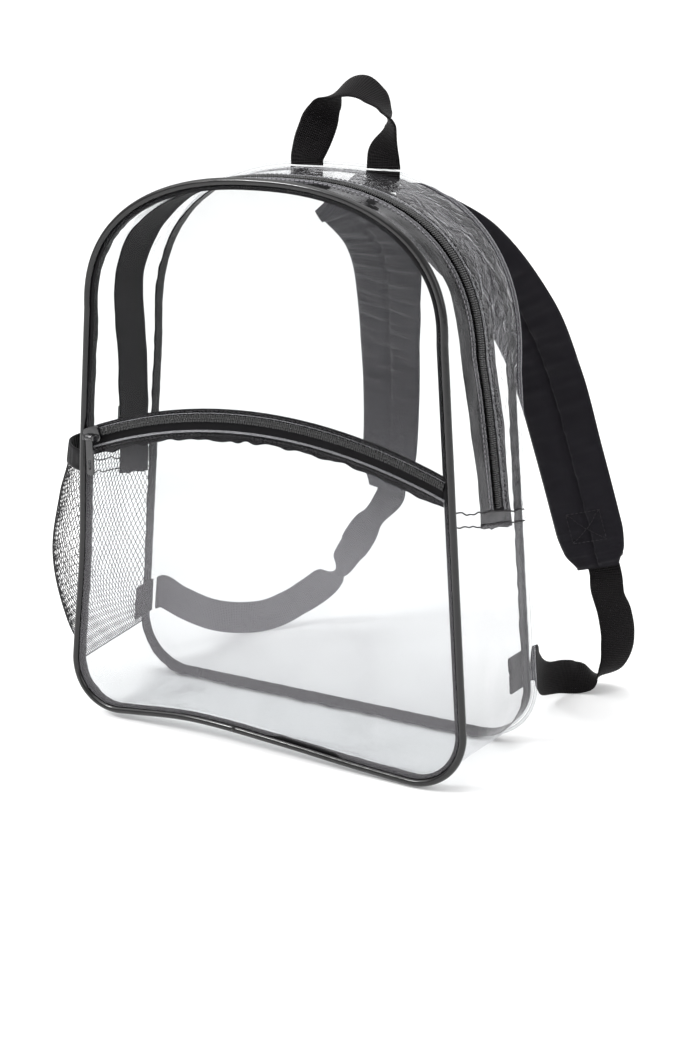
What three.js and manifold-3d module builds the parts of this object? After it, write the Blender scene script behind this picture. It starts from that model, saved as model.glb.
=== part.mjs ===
// Clear stadium backpack: a see-through vinyl bag with black piping, a main zipper over its top, an arched
// front pocket zipper, a net side pocket, a webbing handle and two padded shoulder straps.
// Millimetres, +Z up. -Y is the front, +Y the wearer's side, +X the right-hand side seen from the front.
// The origin is the middle of the flat base, on the surface that the bag stands on.
import * as THREE from 'three';
import { mergeVertices } from 'three/addons/utils/BufferGeometryUtils.js';
import Module from 'manifold-3d';

const wasm = await Module();
wasm.setup();

// Driving dimensions of the bag, over the piping
const BAG_HEIGHT = 387;
const BAG_DEPTH = 102;
const FRONT_WIDTH = 311;
const FRONT_SHOULDER_WIDTH = 271;
const FRONT_ARCH_START = 294;
const BACK_WIDTH = 326;
const BACK_SHOULDER_WIDTH = 288;
const BACK_ARCH_START = 261;
const CORNER_RADIUS = 41;
const FRONT_ARCH_POWER = 2.3;
const BACK_ARCH_POWER = 2.5;
const FRONT_LEAN = 8;
const BACK_LEAN = 3;
const PANEL_CROWN = 2;

// Sheet, edges and clearances
const GAP = 0.3;
const SHEET = 1;
const PIPING_DIAMETER = 5;
const BACK_EDGE_DIAMETER = 3;
const BINDING_WIDTH = 11;
const BINDING_THICKNESS = 1.1;

// Where the zipper band meets the base band on both sides
const JOINT_FRONT_HEIGHT = 188;
const JOINT_BACK_HEIGHT = 168;

// Main zipper
const MAIN_TAPE_WIDTH = 42;
const MAIN_TAPE_THICKNESS = 0.8;
const MAIN_TAPE_TAIL = 12;
const MAIN_ZIP_WINDOW = 16;
const MAIN_COIL_WIDTH = 8;
const MAIN_COIL_HEIGHT = 2.2;
const MAIN_SLIDER_HEIGHT = 218;
const MAIN_SLIDER_LENGTH = 17;
const MAIN_SLIDER_WIDTH = 12;
const MAIN_SLIDER_RISE = 4;
const MAIN_PULL_LENGTH = 27;
const MAIN_PULL_THICKNESS = 1.8;

// Front pocket and its zipper
const POCKET_ZIP_END_HEIGHT = 205;
const POCKET_ZIP_RISE = 27;
const POCKET_TAPE_ABOVE = 6;
const POCKET_TAPE_BELOW = 15;
const POCKET_UPPER_EDGE = 3.3;
const POCKET_LOWER_EDGE = 8.7;
const POCKET_TAPE_THICKNESS = 0.8;
const POCKET_COIL_WIDTH = 5.5;
const POCKET_COIL_HEIGHT = 2.2;
const POCKET_DEPTH = 7;
const SLIDER_FROM_EDGE = 8;
const SLIDER_LENGTH = 13;
const SLIDER_HEIGHT = 11;
const SLIDER_THICKNESS = 2.6;
const LUG_THICKNESS = 1.6;
const LUG_REACH = 4.4;
const BAR_DIAMETER = 1.6;
const PULL_LENGTH = 25;
const PULL_WIDTH = 5.5;
const PULL_THICKNESS = 1.5;
const PULL_EYE_CLEARANCE = 0.35;
const PULL_EYE_WALL = 1;
const PULL_SLOT_WIDTH = 2.2;
const PULL_SLOT_LENGTH = 7;
const PULL_SLOT_DROP = 5;

// Net side pocket, on the left of the bag seen from the front
const NET_BOTTOM_HEIGHT = 38;
const NET_BAND_BOTTOM = 177;
const NET_BAND_HEIGHT = 15;
const NET_BAND_THICKNESS = 2;
const NET_THICKNESS = 1;
const NET_BULGE = 42;
const NET_FORWARD = 0.62;
const NET_ROUND = 0.8;
const NET_COLUMNS = 9;
const NET_ROWS = 12;
const NET_GAP_REACH = 0.36;

// Handle and straps
const HANDLE_WIDTH = 25;
const HANDLE_THICKNESS = 2;
const HANDLE_HEIGHT = 56;
const HANDLE_OFFSET = 12;
const HANDLE_SPAN = 54;
const PAD_WIDTH = 54;
const PAD_THICKNESS = 7;
const STRAP_REACH = 130;
const WEBBING_WIDTH = 25;
const WEBBING_THICKNESS = 1.6;
const LOCK_WIDTH = 36;
const LOCK_HEIGHT = 26;
const LOCK_THICKNESS = 4;
const LOCK_BAR = 4;
const LOCK_SIDE = 3.5;
const LOCK_CORNER = 3;
const LOCK_FROM_PAD_END = 4;
const TAIL_LENGTH = 24;
const TAIL_HEIGHT = 58;

// Softness: the front bottom edge bows up, the left front edge is drawn in by the net pocket
const BOW_RISE = 11;
const BOW_REACH_BACK = 32;
const BOW_REACH_UP = 110;
const PINCH = 3;
const PINCH_HEIGHT = 125;
const PINCH_REACH = 55;

// Shares of the outline's length, from the middle of the bottom to the middle of the top
const BOTTOM_END = 0.093;
const CORNER_END = 0.143;
const SIDE_END = 0.347;
const TOP = 0.5;
// How finely the surfaces are divided
const STATIONS = { bottom: 3, corner: 4, side: 6, arch: 8 };
const PANEL_RINGS = [1, 0.7, 0.35];
const POCKET_EDGE_STEPS = 14;
const POCKET_ZIP_STEPS = 20;
const COIL_SIDES = 6;
const PIPING_SIDES = 8;
const BACK_EDGE_SIDES = 6;
const BAND_COLUMNS = 2;
const NET_BAND_STEPS = 10;
const HANDLE_STEPS = 30;
const PAD_STEPS = 16;
const WEBBING_STEPS = 34;
const ROUND_STEPS = { corner: 3, eye: 6, bar: 10 };

// Rise of the bow along the bottom edge: across is a share of the half width, rise a share of BOW_RISE
const BOW = [
  { at: -1, value: 0 }, { at: -0.7, value: 0.55 }, { at: -0.35, value: 1 },
  { at: 0.1, value: 0.72 }, { at: 0.5, value: 0.3 }, { at: 0.8, value: 0.08 }, { at: 1, value: 0 },
];
// Zipper path: at is a share of the way from the side joint to the top, value a share of the depth
const ZIP_PATH = [
  { at: 0, value: 0.65 }, { at: 0.25, value: 0.575 }, { at: 0.42, value: 0.48 },
  { at: 0.6, value: 0.44 }, { at: 1, value: 0.43 },
];
// How far the base band swells out to the surface that it stands on: at is a share of the depth
const BASE_SWELL = [
  { at: 0, value: 0 }, { at: 0.12, value: 0.45 }, { at: 0.35, value: 1 },
  { at: 0.85, value: 1 }, { at: 1, value: 0 },
];
// Fullness of the net pocket: at is a share of its height, value a share of NET_BULGE
const NET_FULLNESS = [
  { at: 0, value: 0 }, { at: 0.15, value: 0.64 }, { at: 0.45, value: 1.05 },
  { at: 0.8, value: 0.93 }, { at: 1, value: 0.74 }, { at: 1.15, value: 0.68 },
];
// Handle: along is a share of HANDLE_SPAN, up of HANDLE_HEIGHT, turn the twist of the webbing in degrees and
// lift the upward share of its width
const HANDLE_ROWS = [
  { along: -0.5, up: 0, turn: 0, lift: 0 },
  { along: -0.5, up: 0.1, turn: 0, lift: 0 },
  { along: -0.37, up: 0.4, turn: 22, lift: 0.05 },
  { along: -0.23, up: 0.69, turn: 48, lift: 0.3 },
  { along: -0.05, up: 0.87, turn: 69, lift: 0.62 },
  { along: 0.2, up: 0.94, turn: 86, lift: 0.6 },
  { along: 0.43, up: 0.84, turn: 98, lift: 0.5 },
  { along: 0.59, up: 0.67, turn: 113, lift: 0.35 },
  { along: 0.66, up: 0.47, turn: 134, lift: 0.1 },
  { along: 0.57, up: 0.14, turn: 176, lift: 0 },
  { along: 0.57, up: 0, turn: 180, lift: 0 },
];
// Padded straps: across is a share of half BACK_WIDTH, up of BAG_HEIGHT, behind of STRAP_REACH, width of
// PAD_WIDTH, lean the tilt of the strap's width to the side, in degrees
const PAD_RIGHT = [
  { across: 0.27, up: 0.933, behind: 0.0225, width: 0.62, lean: -12 },
  { across: 0.37, up: 0.921, behind: 0.052, width: 0.84, lean: -30 },
  { across: 0.55, up: 0.857, behind: 0.19, width: 1, lean: -42 },
  { across: 0.7, up: 0.745, behind: 0.42, width: 1, lean: -26 },
  { across: 0.79, up: 0.62, behind: 0.58, width: 0.98, lean: -16 },
  { across: 0.89, up: 0.48, behind: 0.62, width: 0.96, lean: -15 },
  { across: 0.99, up: 0.345, behind: 0.63, width: 0.96, lean: -15 },
  { across: 1.045, up: 0.27, behind: 0.63, width: 0.8, lean: -15 },
];
const PAD_LEFT = [
  { across: 0, up: 0.952, behind: 0.014, width: 0.92, lean: -6 },
  { across: 0.055, up: 0.925, behind: 0.05, width: 0.95, lean: -14 },
  { across: 0.085, up: 0.842, behind: 0.33, width: 1, lean: -4 },
  { across: 0.01, up: 0.737, behind: 0.6, width: 0.97, lean: 8 },
  { across: -0.058, up: 0.643, behind: 0.79, width: 0.93, lean: 8 },
  { across: -0.117, up: 0.53, behind: 0.96, width: 0.9, lean: 4 },
  { across: -0.137, up: 0.415, behind: 1, width: 0.88, lean: 12 },
  { across: -0.172, up: 0.316, behind: 1.03, width: 0.74, lean: 19 },
];
// Adjusting webbing, from the pad's end to the lower back corner: across, up and behind as above,
// side, back and rise the direction of the webbing's width
const WEB_RIGHT = [
  { across: 1.065, up: 0.215, behind: 0.74, side: 1, back: 0.1, rise: 0.05 },
  { across: 1.085, up: 0.17, behind: 0.8, side: 0.97, back: 0.3, rise: 0.1 },
  { across: 1.09, up: 0.11, behind: 0.86, side: 0.85, back: 0.55, rise: 0.1 },
  { across: 1.065, up: 0.055, behind: 0.88, side: 0.6, back: 0.8, rise: 0.1 },
  { across: 1, up: 0.026, behind: 0.86, side: 0.3, back: 0.95, rise: 0.1 },
  { across: 0.935, up: 0.027, behind: 0.8, side: 0.1, back: 0.9, rise: 0.45 },
  { across: 0.885, up: 0.038, behind: 0.68, side: 0, back: 0.4, rise: 0.9 },
  { across: 0.865, up: 0.054, behind: 0.5, side: 0, back: 0.1, rise: 1 },
  { across: 0.905, up: 0.1, behind: 0.26, side: 0, back: 0, rise: 1 },
  { across: 0.945, up: 0.14, behind: 0.09, side: 0, back: 0, rise: 1 },
  { across: 0.95, up: 0.147, behind: 0.012, side: 0, back: 0, rise: 1 },
];
const WEB_LEFT = [
  { across: -0.25, up: 0.245, behind: 1.03, side: 0.9, back: 0, rise: 0.4 },
  { across: -0.35, up: 0.18, behind: 1.03, side: 0.75, back: 0, rise: 0.65 },
  { across: -0.46, up: 0.113, behind: 1, side: 0.55, back: 0.1, rise: 0.8 },
  { across: -0.6, up: 0.062, behind: 0.94, side: 0.35, back: 0.25, rise: 0.85 },
  { across: -0.715, up: 0.034, behind: 0.82, side: 0.2, back: 0.6, rise: 0.75 },
  { across: -0.8, up: 0.035, behind: 0.67, side: 0, back: 0.6, rise: 0.8 },
  { across: -0.88, up: 0.056, behind: 0.48, side: -0.2, back: 0.35, rise: 0.9 },
  { across: -0.945, up: 0.098, behind: 0.28, side: -0.15, back: 0.2, rise: 1 },
  { across: -0.962, up: 0.14, behind: 0.1, side: 0, back: 0, rise: 1 },
  { across: -0.95, up: 0.147, behind: 0.012, side: 0, back: 0, rise: 1 },
];

// Sizes that follow from the ones above
const PIPING_REACH = PIPING_DIAMETER + GAP;
const BACK_EDGE_REACH = BACK_EDGE_DIAMETER + GAP;
const FRONT_FACE = -BAG_DEPTH / 2;
const BACK_FACE = BAG_DEPTH / 2;
const SEAM_INSET = SHEET + GAP;
const SPAN = BAG_DEPTH - 2 * SEAM_INSET;
const FRONT_OUTLINE = {
  half: FRONT_WIDTH / 2 - PIPING_REACH,
  shoulder: FRONT_SHOULDER_WIDTH / 2 - PIPING_REACH,
  bottom: PIPING_REACH + GAP,
  arch: FRONT_ARCH_START,
  top: BAG_HEIGHT - PIPING_REACH,
  corner: CORNER_RADIUS - PIPING_REACH,
  power: FRONT_ARCH_POWER,
};
const BACK_OUTLINE = {
  half: BACK_WIDTH / 2 - BACK_EDGE_REACH,
  shoulder: BACK_SHOULDER_WIDTH / 2 - BACK_EDGE_REACH,
  bottom: BACK_EDGE_REACH + GAP,
  arch: BACK_ARCH_START,
  top: BAG_HEIGHT - GAP,
  corner: CORNER_RADIUS - BACK_EDGE_REACH,
  power: BACK_ARCH_POWER,
};

const lerp = THREE.MathUtils.lerp;
const smooth = (s) => THREE.MathUtils.smoothstep(s, 0, 1);

// Value of a table at a place between its rows, on a smooth curve through them
function tableValue(rows, at, key = 'value') {
  const last = rows.length - 1;
  const place = THREE.MathUtils.clamp(at, rows[0].at, rows[last].at);
  let i = 0;
  while (i < last - 1 && place > rows[i + 1].at) i += 1;
  const slope = (k) => {
    const a = rows[Math.max(k - 1, 0)];
    const b = rows[Math.min(k + 1, last)];
    return (b[key] - a[key]) / (b.at - a.at);
  };
  const [a, b] = [rows[i], rows[i + 1]];
  const step = b.at - a.at;
  const s = (place - a.at) / step;
  const rise = b[key] - a[key];
  const level = a[key] + rise * s * s * (3 - 2 * s);
  return level + step * s * (1 - s) * (slope(i) * (1 - s) - slope(i + 1) * s);
}

// Value of a table on straight lines between its rows
function tableLine(rows, at) {
  const i = Math.max(rows.findIndex((row) => row.at >= at), 1);
  const [a, b] = [rows[i - 1], rows[i]];
  return lerp(a.value, b.value, (at - a.at) / (b.at - a.at));
}

// Point [x, z] of a panel outline. turn runs from the middle of the bottom (0) up the right side to the
// middle of the top (0.5) and down the left side (1)
function outlinePoint(shape, turn) {
  const t = turn - Math.floor(turn);
  const side = t <= TOP ? 1 : -1;
  const u = t <= TOP ? t : 1 - t;
  const flat = shape.half - shape.corner;
  if (u <= BOTTOM_END) return [side * flat * u / BOTTOM_END, shape.bottom];
  if (u <= CORNER_END) {
    const angle = (u - BOTTOM_END) / (CORNER_END - BOTTOM_END) * Math.PI / 2;
    const z = shape.bottom + shape.corner * (1 - Math.cos(angle));
    return [side * (flat + shape.corner * Math.sin(angle)), z];
  }
  if (u <= SIDE_END) {
    const s = (u - CORNER_END) / (SIDE_END - CORNER_END);
    return [side * lerp(shape.half, shape.shoulder, s), lerp(shape.bottom + shape.corner, shape.arch, s)];
  }
  const angle = (u - SIDE_END) / (TOP - SIDE_END) * Math.PI / 2;
  const power = 2 / shape.power;
  const x = shape.shoulder * Math.max(Math.cos(angle), 0) ** power;
  return [side * x, shape.arch + (shape.top - shape.arch) * Math.sin(angle) ** power];
}

// Point and outward normal of the band between the two outlines, at a share of the depth
function bandSection(turn, depth) {
  const between = (at) => {
    const front = outlinePoint(FRONT_OUTLINE, at);
    const back = outlinePoint(BACK_OUTLINE, at);
    return [lerp(front[0], back[0], depth), lerp(front[1], back[1], depth)];
  };
  const step = 1e-4;
  const before = between(turn - step);
  const after = between(turn + step);
  const along = new THREE.Vector2(after[0] - before[0], after[1] - before[1]).normalize();
  return { point: between(turn), normal: [along.y, -along.x] };
}

const frontPlane = (z) => FRONT_FACE + FRONT_LEAN * z / BAG_HEIGHT;
const backPlane = (z) => BACK_FACE + BACK_LEAN * z / BAG_HEIGHT;

// The bow of the bottom edge and the drawn-in left edge, for any point of the bag
function soften(point) {
  const depth = point.y - frontPlane(point.z);
  const across = point.x / FRONT_OUTLINE.half;
  const nearFront = 1 - smooth(depth / BOW_REACH_BACK);
  const low = 1 - smooth(point.z / BOW_REACH_UP);
  const rise = BOW_RISE * tableValue(BOW, across) * nearFront * low;
  const height = (point.z - PINCH_HEIGHT) / PINCH_REACH;
  const leftSide = Math.max(-across, 0) ** 4;
  const draw = PINCH * Math.exp(-height * height) * leftSide * nearFront;
  return new THREE.Vector3(point.x + draw, point.y, point.z + rise);
}

// Point on the side band: turn round the outline, depth a share between the panels, out the distance
// outside its outer face
function bandPoint(turn, depth, out) {
  const { point, normal } = bandSection(turn, depth);
  const t = turn - Math.floor(turn);
  const u = t <= TOP ? t : 1 - t;
  const low = 1 - smooth((u - BOTTOM_END) / (CORNER_END - BOTTOM_END));
  const lift = lerp(FRONT_OUTLINE.bottom, BACK_OUTLINE.bottom, depth);
  const swell = tableLine(BASE_SWELL, THREE.MathUtils.clamp(depth, 0, 1));
  const z = point[1] + normal[1] * out - lift * low * swell;
  const front = frontPlane(z) + SEAM_INSET;
  const back = backPlane(z) - SEAM_INSET;
  return soften(new THREE.Vector3(point[0] + normal[0] * out, lerp(front, back, depth), z));
}

// Place round the outline where the band's side is at a height
function turnAtHeight(height, depth) {
  const side = (shape) => [shape.bottom + shape.corner, shape.arch];
  const [frontLow, frontHigh] = side(FRONT_OUTLINE);
  const [backLow, backHigh] = side(BACK_OUTLINE);
  const low = lerp(frontLow, backLow, depth);
  const high = lerp(frontHigh, backHigh, depth);
  return CORNER_END + (height - low) / (high - low) * (SIDE_END - CORNER_END);
}

const jointTurn = (depth) => turnAtHeight(lerp(JOINT_FRONT_HEIGHT, JOINT_BACK_HEIGHT, depth), depth);
const millimetres = (length) => length / SPAN;
const LOWEST_JOINT = Math.min(jointTurn(0), jointTurn(1));
const HIGHEST_JOINT = Math.max(jointTurn(0), jointTurn(1));
const TURN_PER_MM = (SIDE_END - CORNER_END) / (FRONT_ARCH_START - CORNER_RADIUS);

// Places round half the outline, closer together where it bends
function halfStations() {
  const ends = [0, BOTTOM_END, CORNER_END, SIDE_END, TOP];
  const counts = [STATIONS.bottom, STATIONS.corner, STATIONS.side, STATIONS.arch];
  const places = [0];
  counts.forEach((count, part) => {
    for (let i = 1; i <= count; i += 1) places.push(lerp(ends[part], ends[part + 1], i / count));
  });
  return places;
}
const HALF = halfStations();
const ROUND = [...HALF, ...HALF.slice(1, -1).reverse().map((u) => 1 - u)];
// Least distance between two places round the outline
const MARGIN = 0.004;

// Zipper centre as a share of the depth, at a place round the outline
function zipCentre(turn) {
  const t = turn - Math.floor(turn);
  const u = t <= TOP ? t : 1 - t;
  const joint = jointTurn(0.5);
  return tableValue(ZIP_PATH, (u - joint) / (TOP - joint));
}

// Closed solid from a list of positions and triangles, turned so that its faces point out
function solid(positions, triangles) {
  const flat = positions.flatMap((p) => [p.x, p.y, p.z]);
  let volume = 0;
  for (const [a, b, c] of triangles) {
    volume += positions[a].dot(new THREE.Vector3().crossVectors(positions[b], positions[c]));
  }
  const index = triangles.flatMap(([a, b, c]) => (volume > 0 ? [a, b, c] : [a, c, b]));
  const geometry = new THREE.BufferGeometry();
  geometry.setAttribute('position', new THREE.Float32BufferAttribute(flat, 3));
  geometry.setIndex(index);
  geometry.computeVertexNormals();
  return geometry;
}

// Wall between two matching grids. pointAt(i, j, face) gives the outer (0) and inner (1) point; with loop
// the last row joins the first
function wall(rows, columns, pointAt, loop = false) {
  const lines = loop ? rows : rows + 1;
  const positions = [];
  for (const face of [0, 1]) {
    for (let i = 0; i < lines; i += 1) {
      for (let j = 0; j <= columns; j += 1) positions.push(pointAt(i, j, face));
    }
  }
  const id = (i, j, face) => (face * lines + i % lines) * (columns + 1) + j;
  const triangles = [];
  const quad = (a, b, c, d) => triangles.push([a, b, c], [a, c, d]);
  for (let i = 0; i < rows; i += 1) {
    for (let j = 0; j < columns; j += 1) {
      quad(id(i, j, 0), id(i + 1, j, 0), id(i + 1, j + 1, 0), id(i, j + 1, 0));
      quad(id(i, j, 1), id(i, j + 1, 1), id(i + 1, j + 1, 1), id(i + 1, j, 1));
    }
    quad(id(i, 0, 0), id(i, 0, 1), id(i + 1, 0, 1), id(i + 1, 0, 0));
    quad(id(i, columns, 0), id(i + 1, columns, 0), id(i + 1, columns, 1), id(i, columns, 1));
  }
  if (!loop) {
    for (let j = 0; j < columns; j += 1) {
      quad(id(0, j, 0), id(0, j + 1, 0), id(0, j + 1, 1), id(0, j, 1));
      quad(id(rows, j, 0), id(rows, j, 1), id(rows, j + 1, 1), id(rows, j + 1, 0));
    }
  }
  return solid(positions, triangles);
}

// Section carried along a path: pointAt(i, k) gives point k of section i
function sweep(rows, sides, pointAt, loop = false) {
  const lines = loop ? rows : rows + 1;
  const positions = [];
  for (let i = 0; i < lines; i += 1) {
    for (let k = 0; k < sides; k += 1) positions.push(pointAt(i, k));
  }
  const id = (i, k) => (i % lines) * sides + k % sides;
  const triangles = [];
  for (let i = 0; i < rows; i += 1) {
    for (let k = 0; k < sides; k += 1) {
      triangles.push([id(i, k), id(i + 1, k), id(i + 1, k + 1)], [id(i, k), id(i + 1, k + 1), id(i, k + 1)]);
    }
  }
  if (!loop) {
    for (let k = 1; k < sides - 1; k += 1) {
      triangles.push([id(0, 0), id(0, k), id(0, k + 1)], [id(rows, 0), id(rows, k + 1), id(rows, k)]);
    }
  }
  return solid(positions, triangles);
}

// Flat sheet inside a closed rim [[x, z], ...], in rings round its middle. faceAt(x, z, face) gives y
function panel(rim, middle, faceAt) {
  const positions = [];
  for (const face of [0, 1]) {
    for (const ring of PANEL_RINGS) {
      for (const [x, z] of rim) {
        const [px, pz] = [lerp(middle[0], x, ring), lerp(middle[1], z, ring)];
        positions.push(soften(new THREE.Vector3(px, faceAt(px, pz, face), pz)));
      }
    }
    positions.push(soften(new THREE.Vector3(middle[0], faceAt(...middle, face), middle[1])));
  }
  const count = rim.length;
  const id = (face, ring, i) => face * (PANEL_RINGS.length * count + 1) + ring * count + i % count;
  const triangles = [];
  for (let i = 0; i < count; i += 1) {
    for (let ring = 0; ring < PANEL_RINGS.length - 1; ring += 1) {
      const [a, b, c, d] = [id(0, ring, i), id(0, ring, i + 1), id(0, ring + 1, i + 1), id(0, ring + 1, i)];
      triangles.push([a, b, c], [a, c, d]);
      const [e, f, g, h] = [id(1, ring, i), id(1, ring, i + 1), id(1, ring + 1, i + 1), id(1, ring + 1, i)];
      triangles.push([e, g, f], [e, h, g]);
    }
    const last = PANEL_RINGS.length - 1;
    triangles.push([id(0, last, i), id(0, last, i + 1), id(0, PANEL_RINGS.length, 0)]);
    triangles.push([id(1, last, i + 1), id(1, last, i), id(1, PANEL_RINGS.length, 0)]);
    const [p, q, r, s] = [id(0, 0, i), id(1, 0, i), id(1, 0, i + 1), id(0, 0, i + 1)];
    triangles.push([p, q, r], [p, r, s]);
  }
  return solid(positions, triangles);
}

// Slight outward crown of a panel, nothing at its edges
function crown(x, z, shape) {
  const across = Math.min(Math.abs(x) / shape.shoulder, 1);
  const up = THREE.MathUtils.clamp((z - shape.bottom) / (shape.top - shape.bottom), 0, 1);
  return PANEL_CROWN * (1 - across * across) * 4 * up * (1 - up);
}
const frontSurface = (x, z) => frontPlane(z) - crown(x, z, FRONT_OUTLINE);
const backSurface = (x, z) => backPlane(z) + crown(x, z, BACK_OUTLINE);

// Centre line of the pocket zipper across the front
const POCKET_ZIP_HALF = outlinePoint(FRONT_OUTLINE, turnAtHeight(POCKET_ZIP_END_HEIGHT, 0))[0];
const pocketZip = (x) => POCKET_ZIP_END_HEIGHT + POCKET_ZIP_RISE * (1 - (x / POCKET_ZIP_HALF) ** 2);

// Rim of a front sheet below (or above) the pocket zipper, with its edge at a distance from the zipper
function frontRim(lower, edge, inset) {
  const end = turnAtHeight(POCKET_ZIP_END_HEIGHT + edge, 0);
  const keep = (u) => (lower ? u < end - MARGIN : u > end + MARGIN);
  const inward = (turn) => {
    const { point, normal } = bandSection(turn, 0);
    return [point[0] - normal[0] * inset, point[1] - normal[1] * inset];
  };
  const right = [...HALF.filter(keep), end].sort((a, b) => a - b);
  const left = right.map((u) => 1 - u).filter((t) => t < 1 && t > TOP).reverse();
  const corner = inward(end);
  const arch = [];
  for (let i = 1; i < POCKET_EDGE_STEPS; i += 1) {
    const x = corner[0] * (1 - 2 * i / POCKET_EDGE_STEPS);
    arch.push([x, pocketZip(x) + edge]);
  }
  if (lower) return [...right.map(inward), ...arch, ...left.map(inward)];
  return [...right.map(inward), ...left.map(inward), ...arch.reverse()];
}

// Clear vinyl sheets
function frontPanelUpper() {
  const rim = frontRim(false, POCKET_UPPER_EDGE, 0);
  const middle = [0, (pocketZip(0) + FRONT_OUTLINE.top) / 2];
  return panel(rim, middle, (x, z, face) => frontSurface(x, z) + face * SHEET);
}

function frontPanelLower() {
  const rim = frontRim(true, -POCKET_LOWER_EDGE, 0);
  const middle = [0, pocketZip(0) / 2];
  return panel(rim, middle, (x, z, face) => frontSurface(x, z) + face * SHEET);
}

function pocketBackSheet() {
  const inset = SEAM_INSET + BINDING_THICKNESS + GAP;
  const rim = frontRim(true, POCKET_TAPE_ABOVE, inset);
  const middle = [0, pocketZip(0) / 2];
  const start = SEAM_INSET + POCKET_TAPE_THICKNESS + GAP;
  const faceAt = (x, z, face) => {
    const across = 1 - Math.min(Math.abs(x) / POCKET_ZIP_HALF, 1) ** 2;
    const up = THREE.MathUtils.clamp(z / (pocketZip(x) - POCKET_TAPE_BELOW), 0, 1);
    const depth = POCKET_DEPTH * across * Math.sqrt(Math.sin(up * Math.PI));
    return frontSurface(x, z) + start + depth + face * SHEET;
  };
  return panel(rim, middle, faceAt);
}

function backPanel() {
  const rim = ROUND.map((turn) => outlinePoint(BACK_OUTLINE, turn));
  const middle = [0, BAG_HEIGHT / 2];
  return panel(rim, middle, (x, z, face) => backSurface(x, z) - face * SHEET);
}

// Band round the bag between two places, whose ends follow the slanting joint
function bandStrip(places, columns, depthAt) {
  const pointAt = (i, j, face) => {
    const turn = places[i](j / columns);
    return bandPoint(turn, depthAt(turn, j / columns), -face * SHEET);
  };
  return wall(places.length - 1, columns, pointAt);
}

// Places of the zipper band from joint to joint, over the top
function upperPlaces(depthOf) {
  const inner = ROUND.filter((t) => t > HIGHEST_JOINT + MARGIN && t < 1 - HIGHEST_JOINT - MARGIN);
  const clearance = GAP * TURN_PER_MM;
  return [
    (s) => jointTurn(depthOf(s)) + clearance,
    ...inner.map((t) => () => t),
    (s) => 1 - jointTurn(depthOf(s)) - clearance,
  ];
}

function gussetFrontStrip() {
  const edge = (turn) => zipCentre(turn) - millimetres(MAIN_ZIP_WINDOW / 2);
  return bandStrip(upperPlaces((s) => s * edge(LOWEST_JOINT)), BAND_COLUMNS, (turn, s) => s * edge(turn));
}

function gussetRearStrip() {
  const edge = (turn) => zipCentre(turn) + millimetres(MAIN_ZIP_WINDOW / 2);
  const depthOf = (s) => lerp(edge(LOWEST_JOINT), 1, s);
  return bandStrip(upperPlaces(depthOf), BAND_COLUMNS, (turn, s) => lerp(edge(turn), 1, s));
}

function gussetBase() {
  const depths = BASE_SWELL.map((row) => row.at);
  const inner = ROUND.filter((t) => t < LOWEST_JOINT - MARGIN || t > 1 - LOWEST_JOINT + MARGIN);
  const turns = inner.map((t) => (t > TOP ? t - 1 : t)).sort((a, b) => a - b);
  const places = [(d) => -jointTurn(d), ...turns.map((t) => () => t), (d) => jointTurn(d)];
  const pointAt = (i, j, face) => bandPoint(places[i](depths[j]), depths[j], -face * SHEET);
  return wall(places.length - 1, depths.length - 1, pointAt);
}

// Round edge carried round a panel, outside the band, at a distance from the panel's face
function edgeCord(diameter, sides, shape, planeAt, inward) {
  const radius = diameter / 2;
  const out = GAP + radius;
  const depth = shape === FRONT_OUTLINE ? 0 : 1;
  const pointAt = (i, k) => {
    const { point, normal } = bandSection(ROUND[i], depth);
    const angle = (k + 0.5) / sides * 2 * Math.PI;
    const reach = out + radius * Math.cos(angle);
    const z = point[1] + normal[1] * reach;
    const y = planeAt(z) + inward + radius * Math.sin(angle);
    return soften(new THREE.Vector3(point[0] + normal[0] * reach, y, z));
  };
  return sweep(ROUND.length, sides, pointAt, true);
}

// Tape over a seam inside the bag, against the band
function seamBinding(fromFront) {
  const near = fromFront ? 0 : 1 - millimetres(BINDING_WIDTH);
  const pointAt = (i, j, face) => {
    const out = -SEAM_INSET - face * BINDING_THICKNESS;
    return bandPoint(ROUND[i], near + j * millimetres(BINDING_WIDTH), out);
  };
  return wall(ROUND.length, 1, pointAt, true);
}

// Main zipper
function mainZipPlaces() {
  const tail = MAIN_TAPE_TAIL * TURN_PER_MM;
  const inner = ROUND.filter((t) => t > HIGHEST_JOINT + MARGIN && t < 1 - HIGHEST_JOINT - MARGIN);
  const start = jointTurn(zipCentre(LOWEST_JOINT));
  return [start - tail, start, ...inner, 1 - start, 1 - start + tail];
}

function mainZipTape() {
  const places = mainZipPlaces();
  const half = millimetres(MAIN_TAPE_WIDTH / 2);
  const pointAt = (i, j, face) => {
    const depth = zipCentre(places[i]) + (j - 1) * half;
    return bandPoint(places[i], depth, -SEAM_INSET - face * MAIN_TAPE_THICKNESS);
  };
  return wall(places.length - 1, 2, pointAt);
}

function mainZipCoil() {
  const short = MAIN_COIL_WIDTH / 4 * TURN_PER_MM;
  const inner = mainZipPlaces().slice(2, -2);
  const start = mainZipPlaces()[1] + short;
  const places = [start, ...inner, 1 - start];
  const pointAt = (i, k) => {
    const angle = k / (COIL_SIDES - 1) * Math.PI;
    const across = Math.cos(angle) * millimetres(MAIN_COIL_WIDTH / 2);
    const out = Math.sin(angle) * MAIN_COIL_HEIGHT - SHEET;
    return bandPoint(places[i], zipCentre(places[i]) + across, out);
  };
  return sweep(places.length - 1, COIL_SIDES, pointAt);
}

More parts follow.
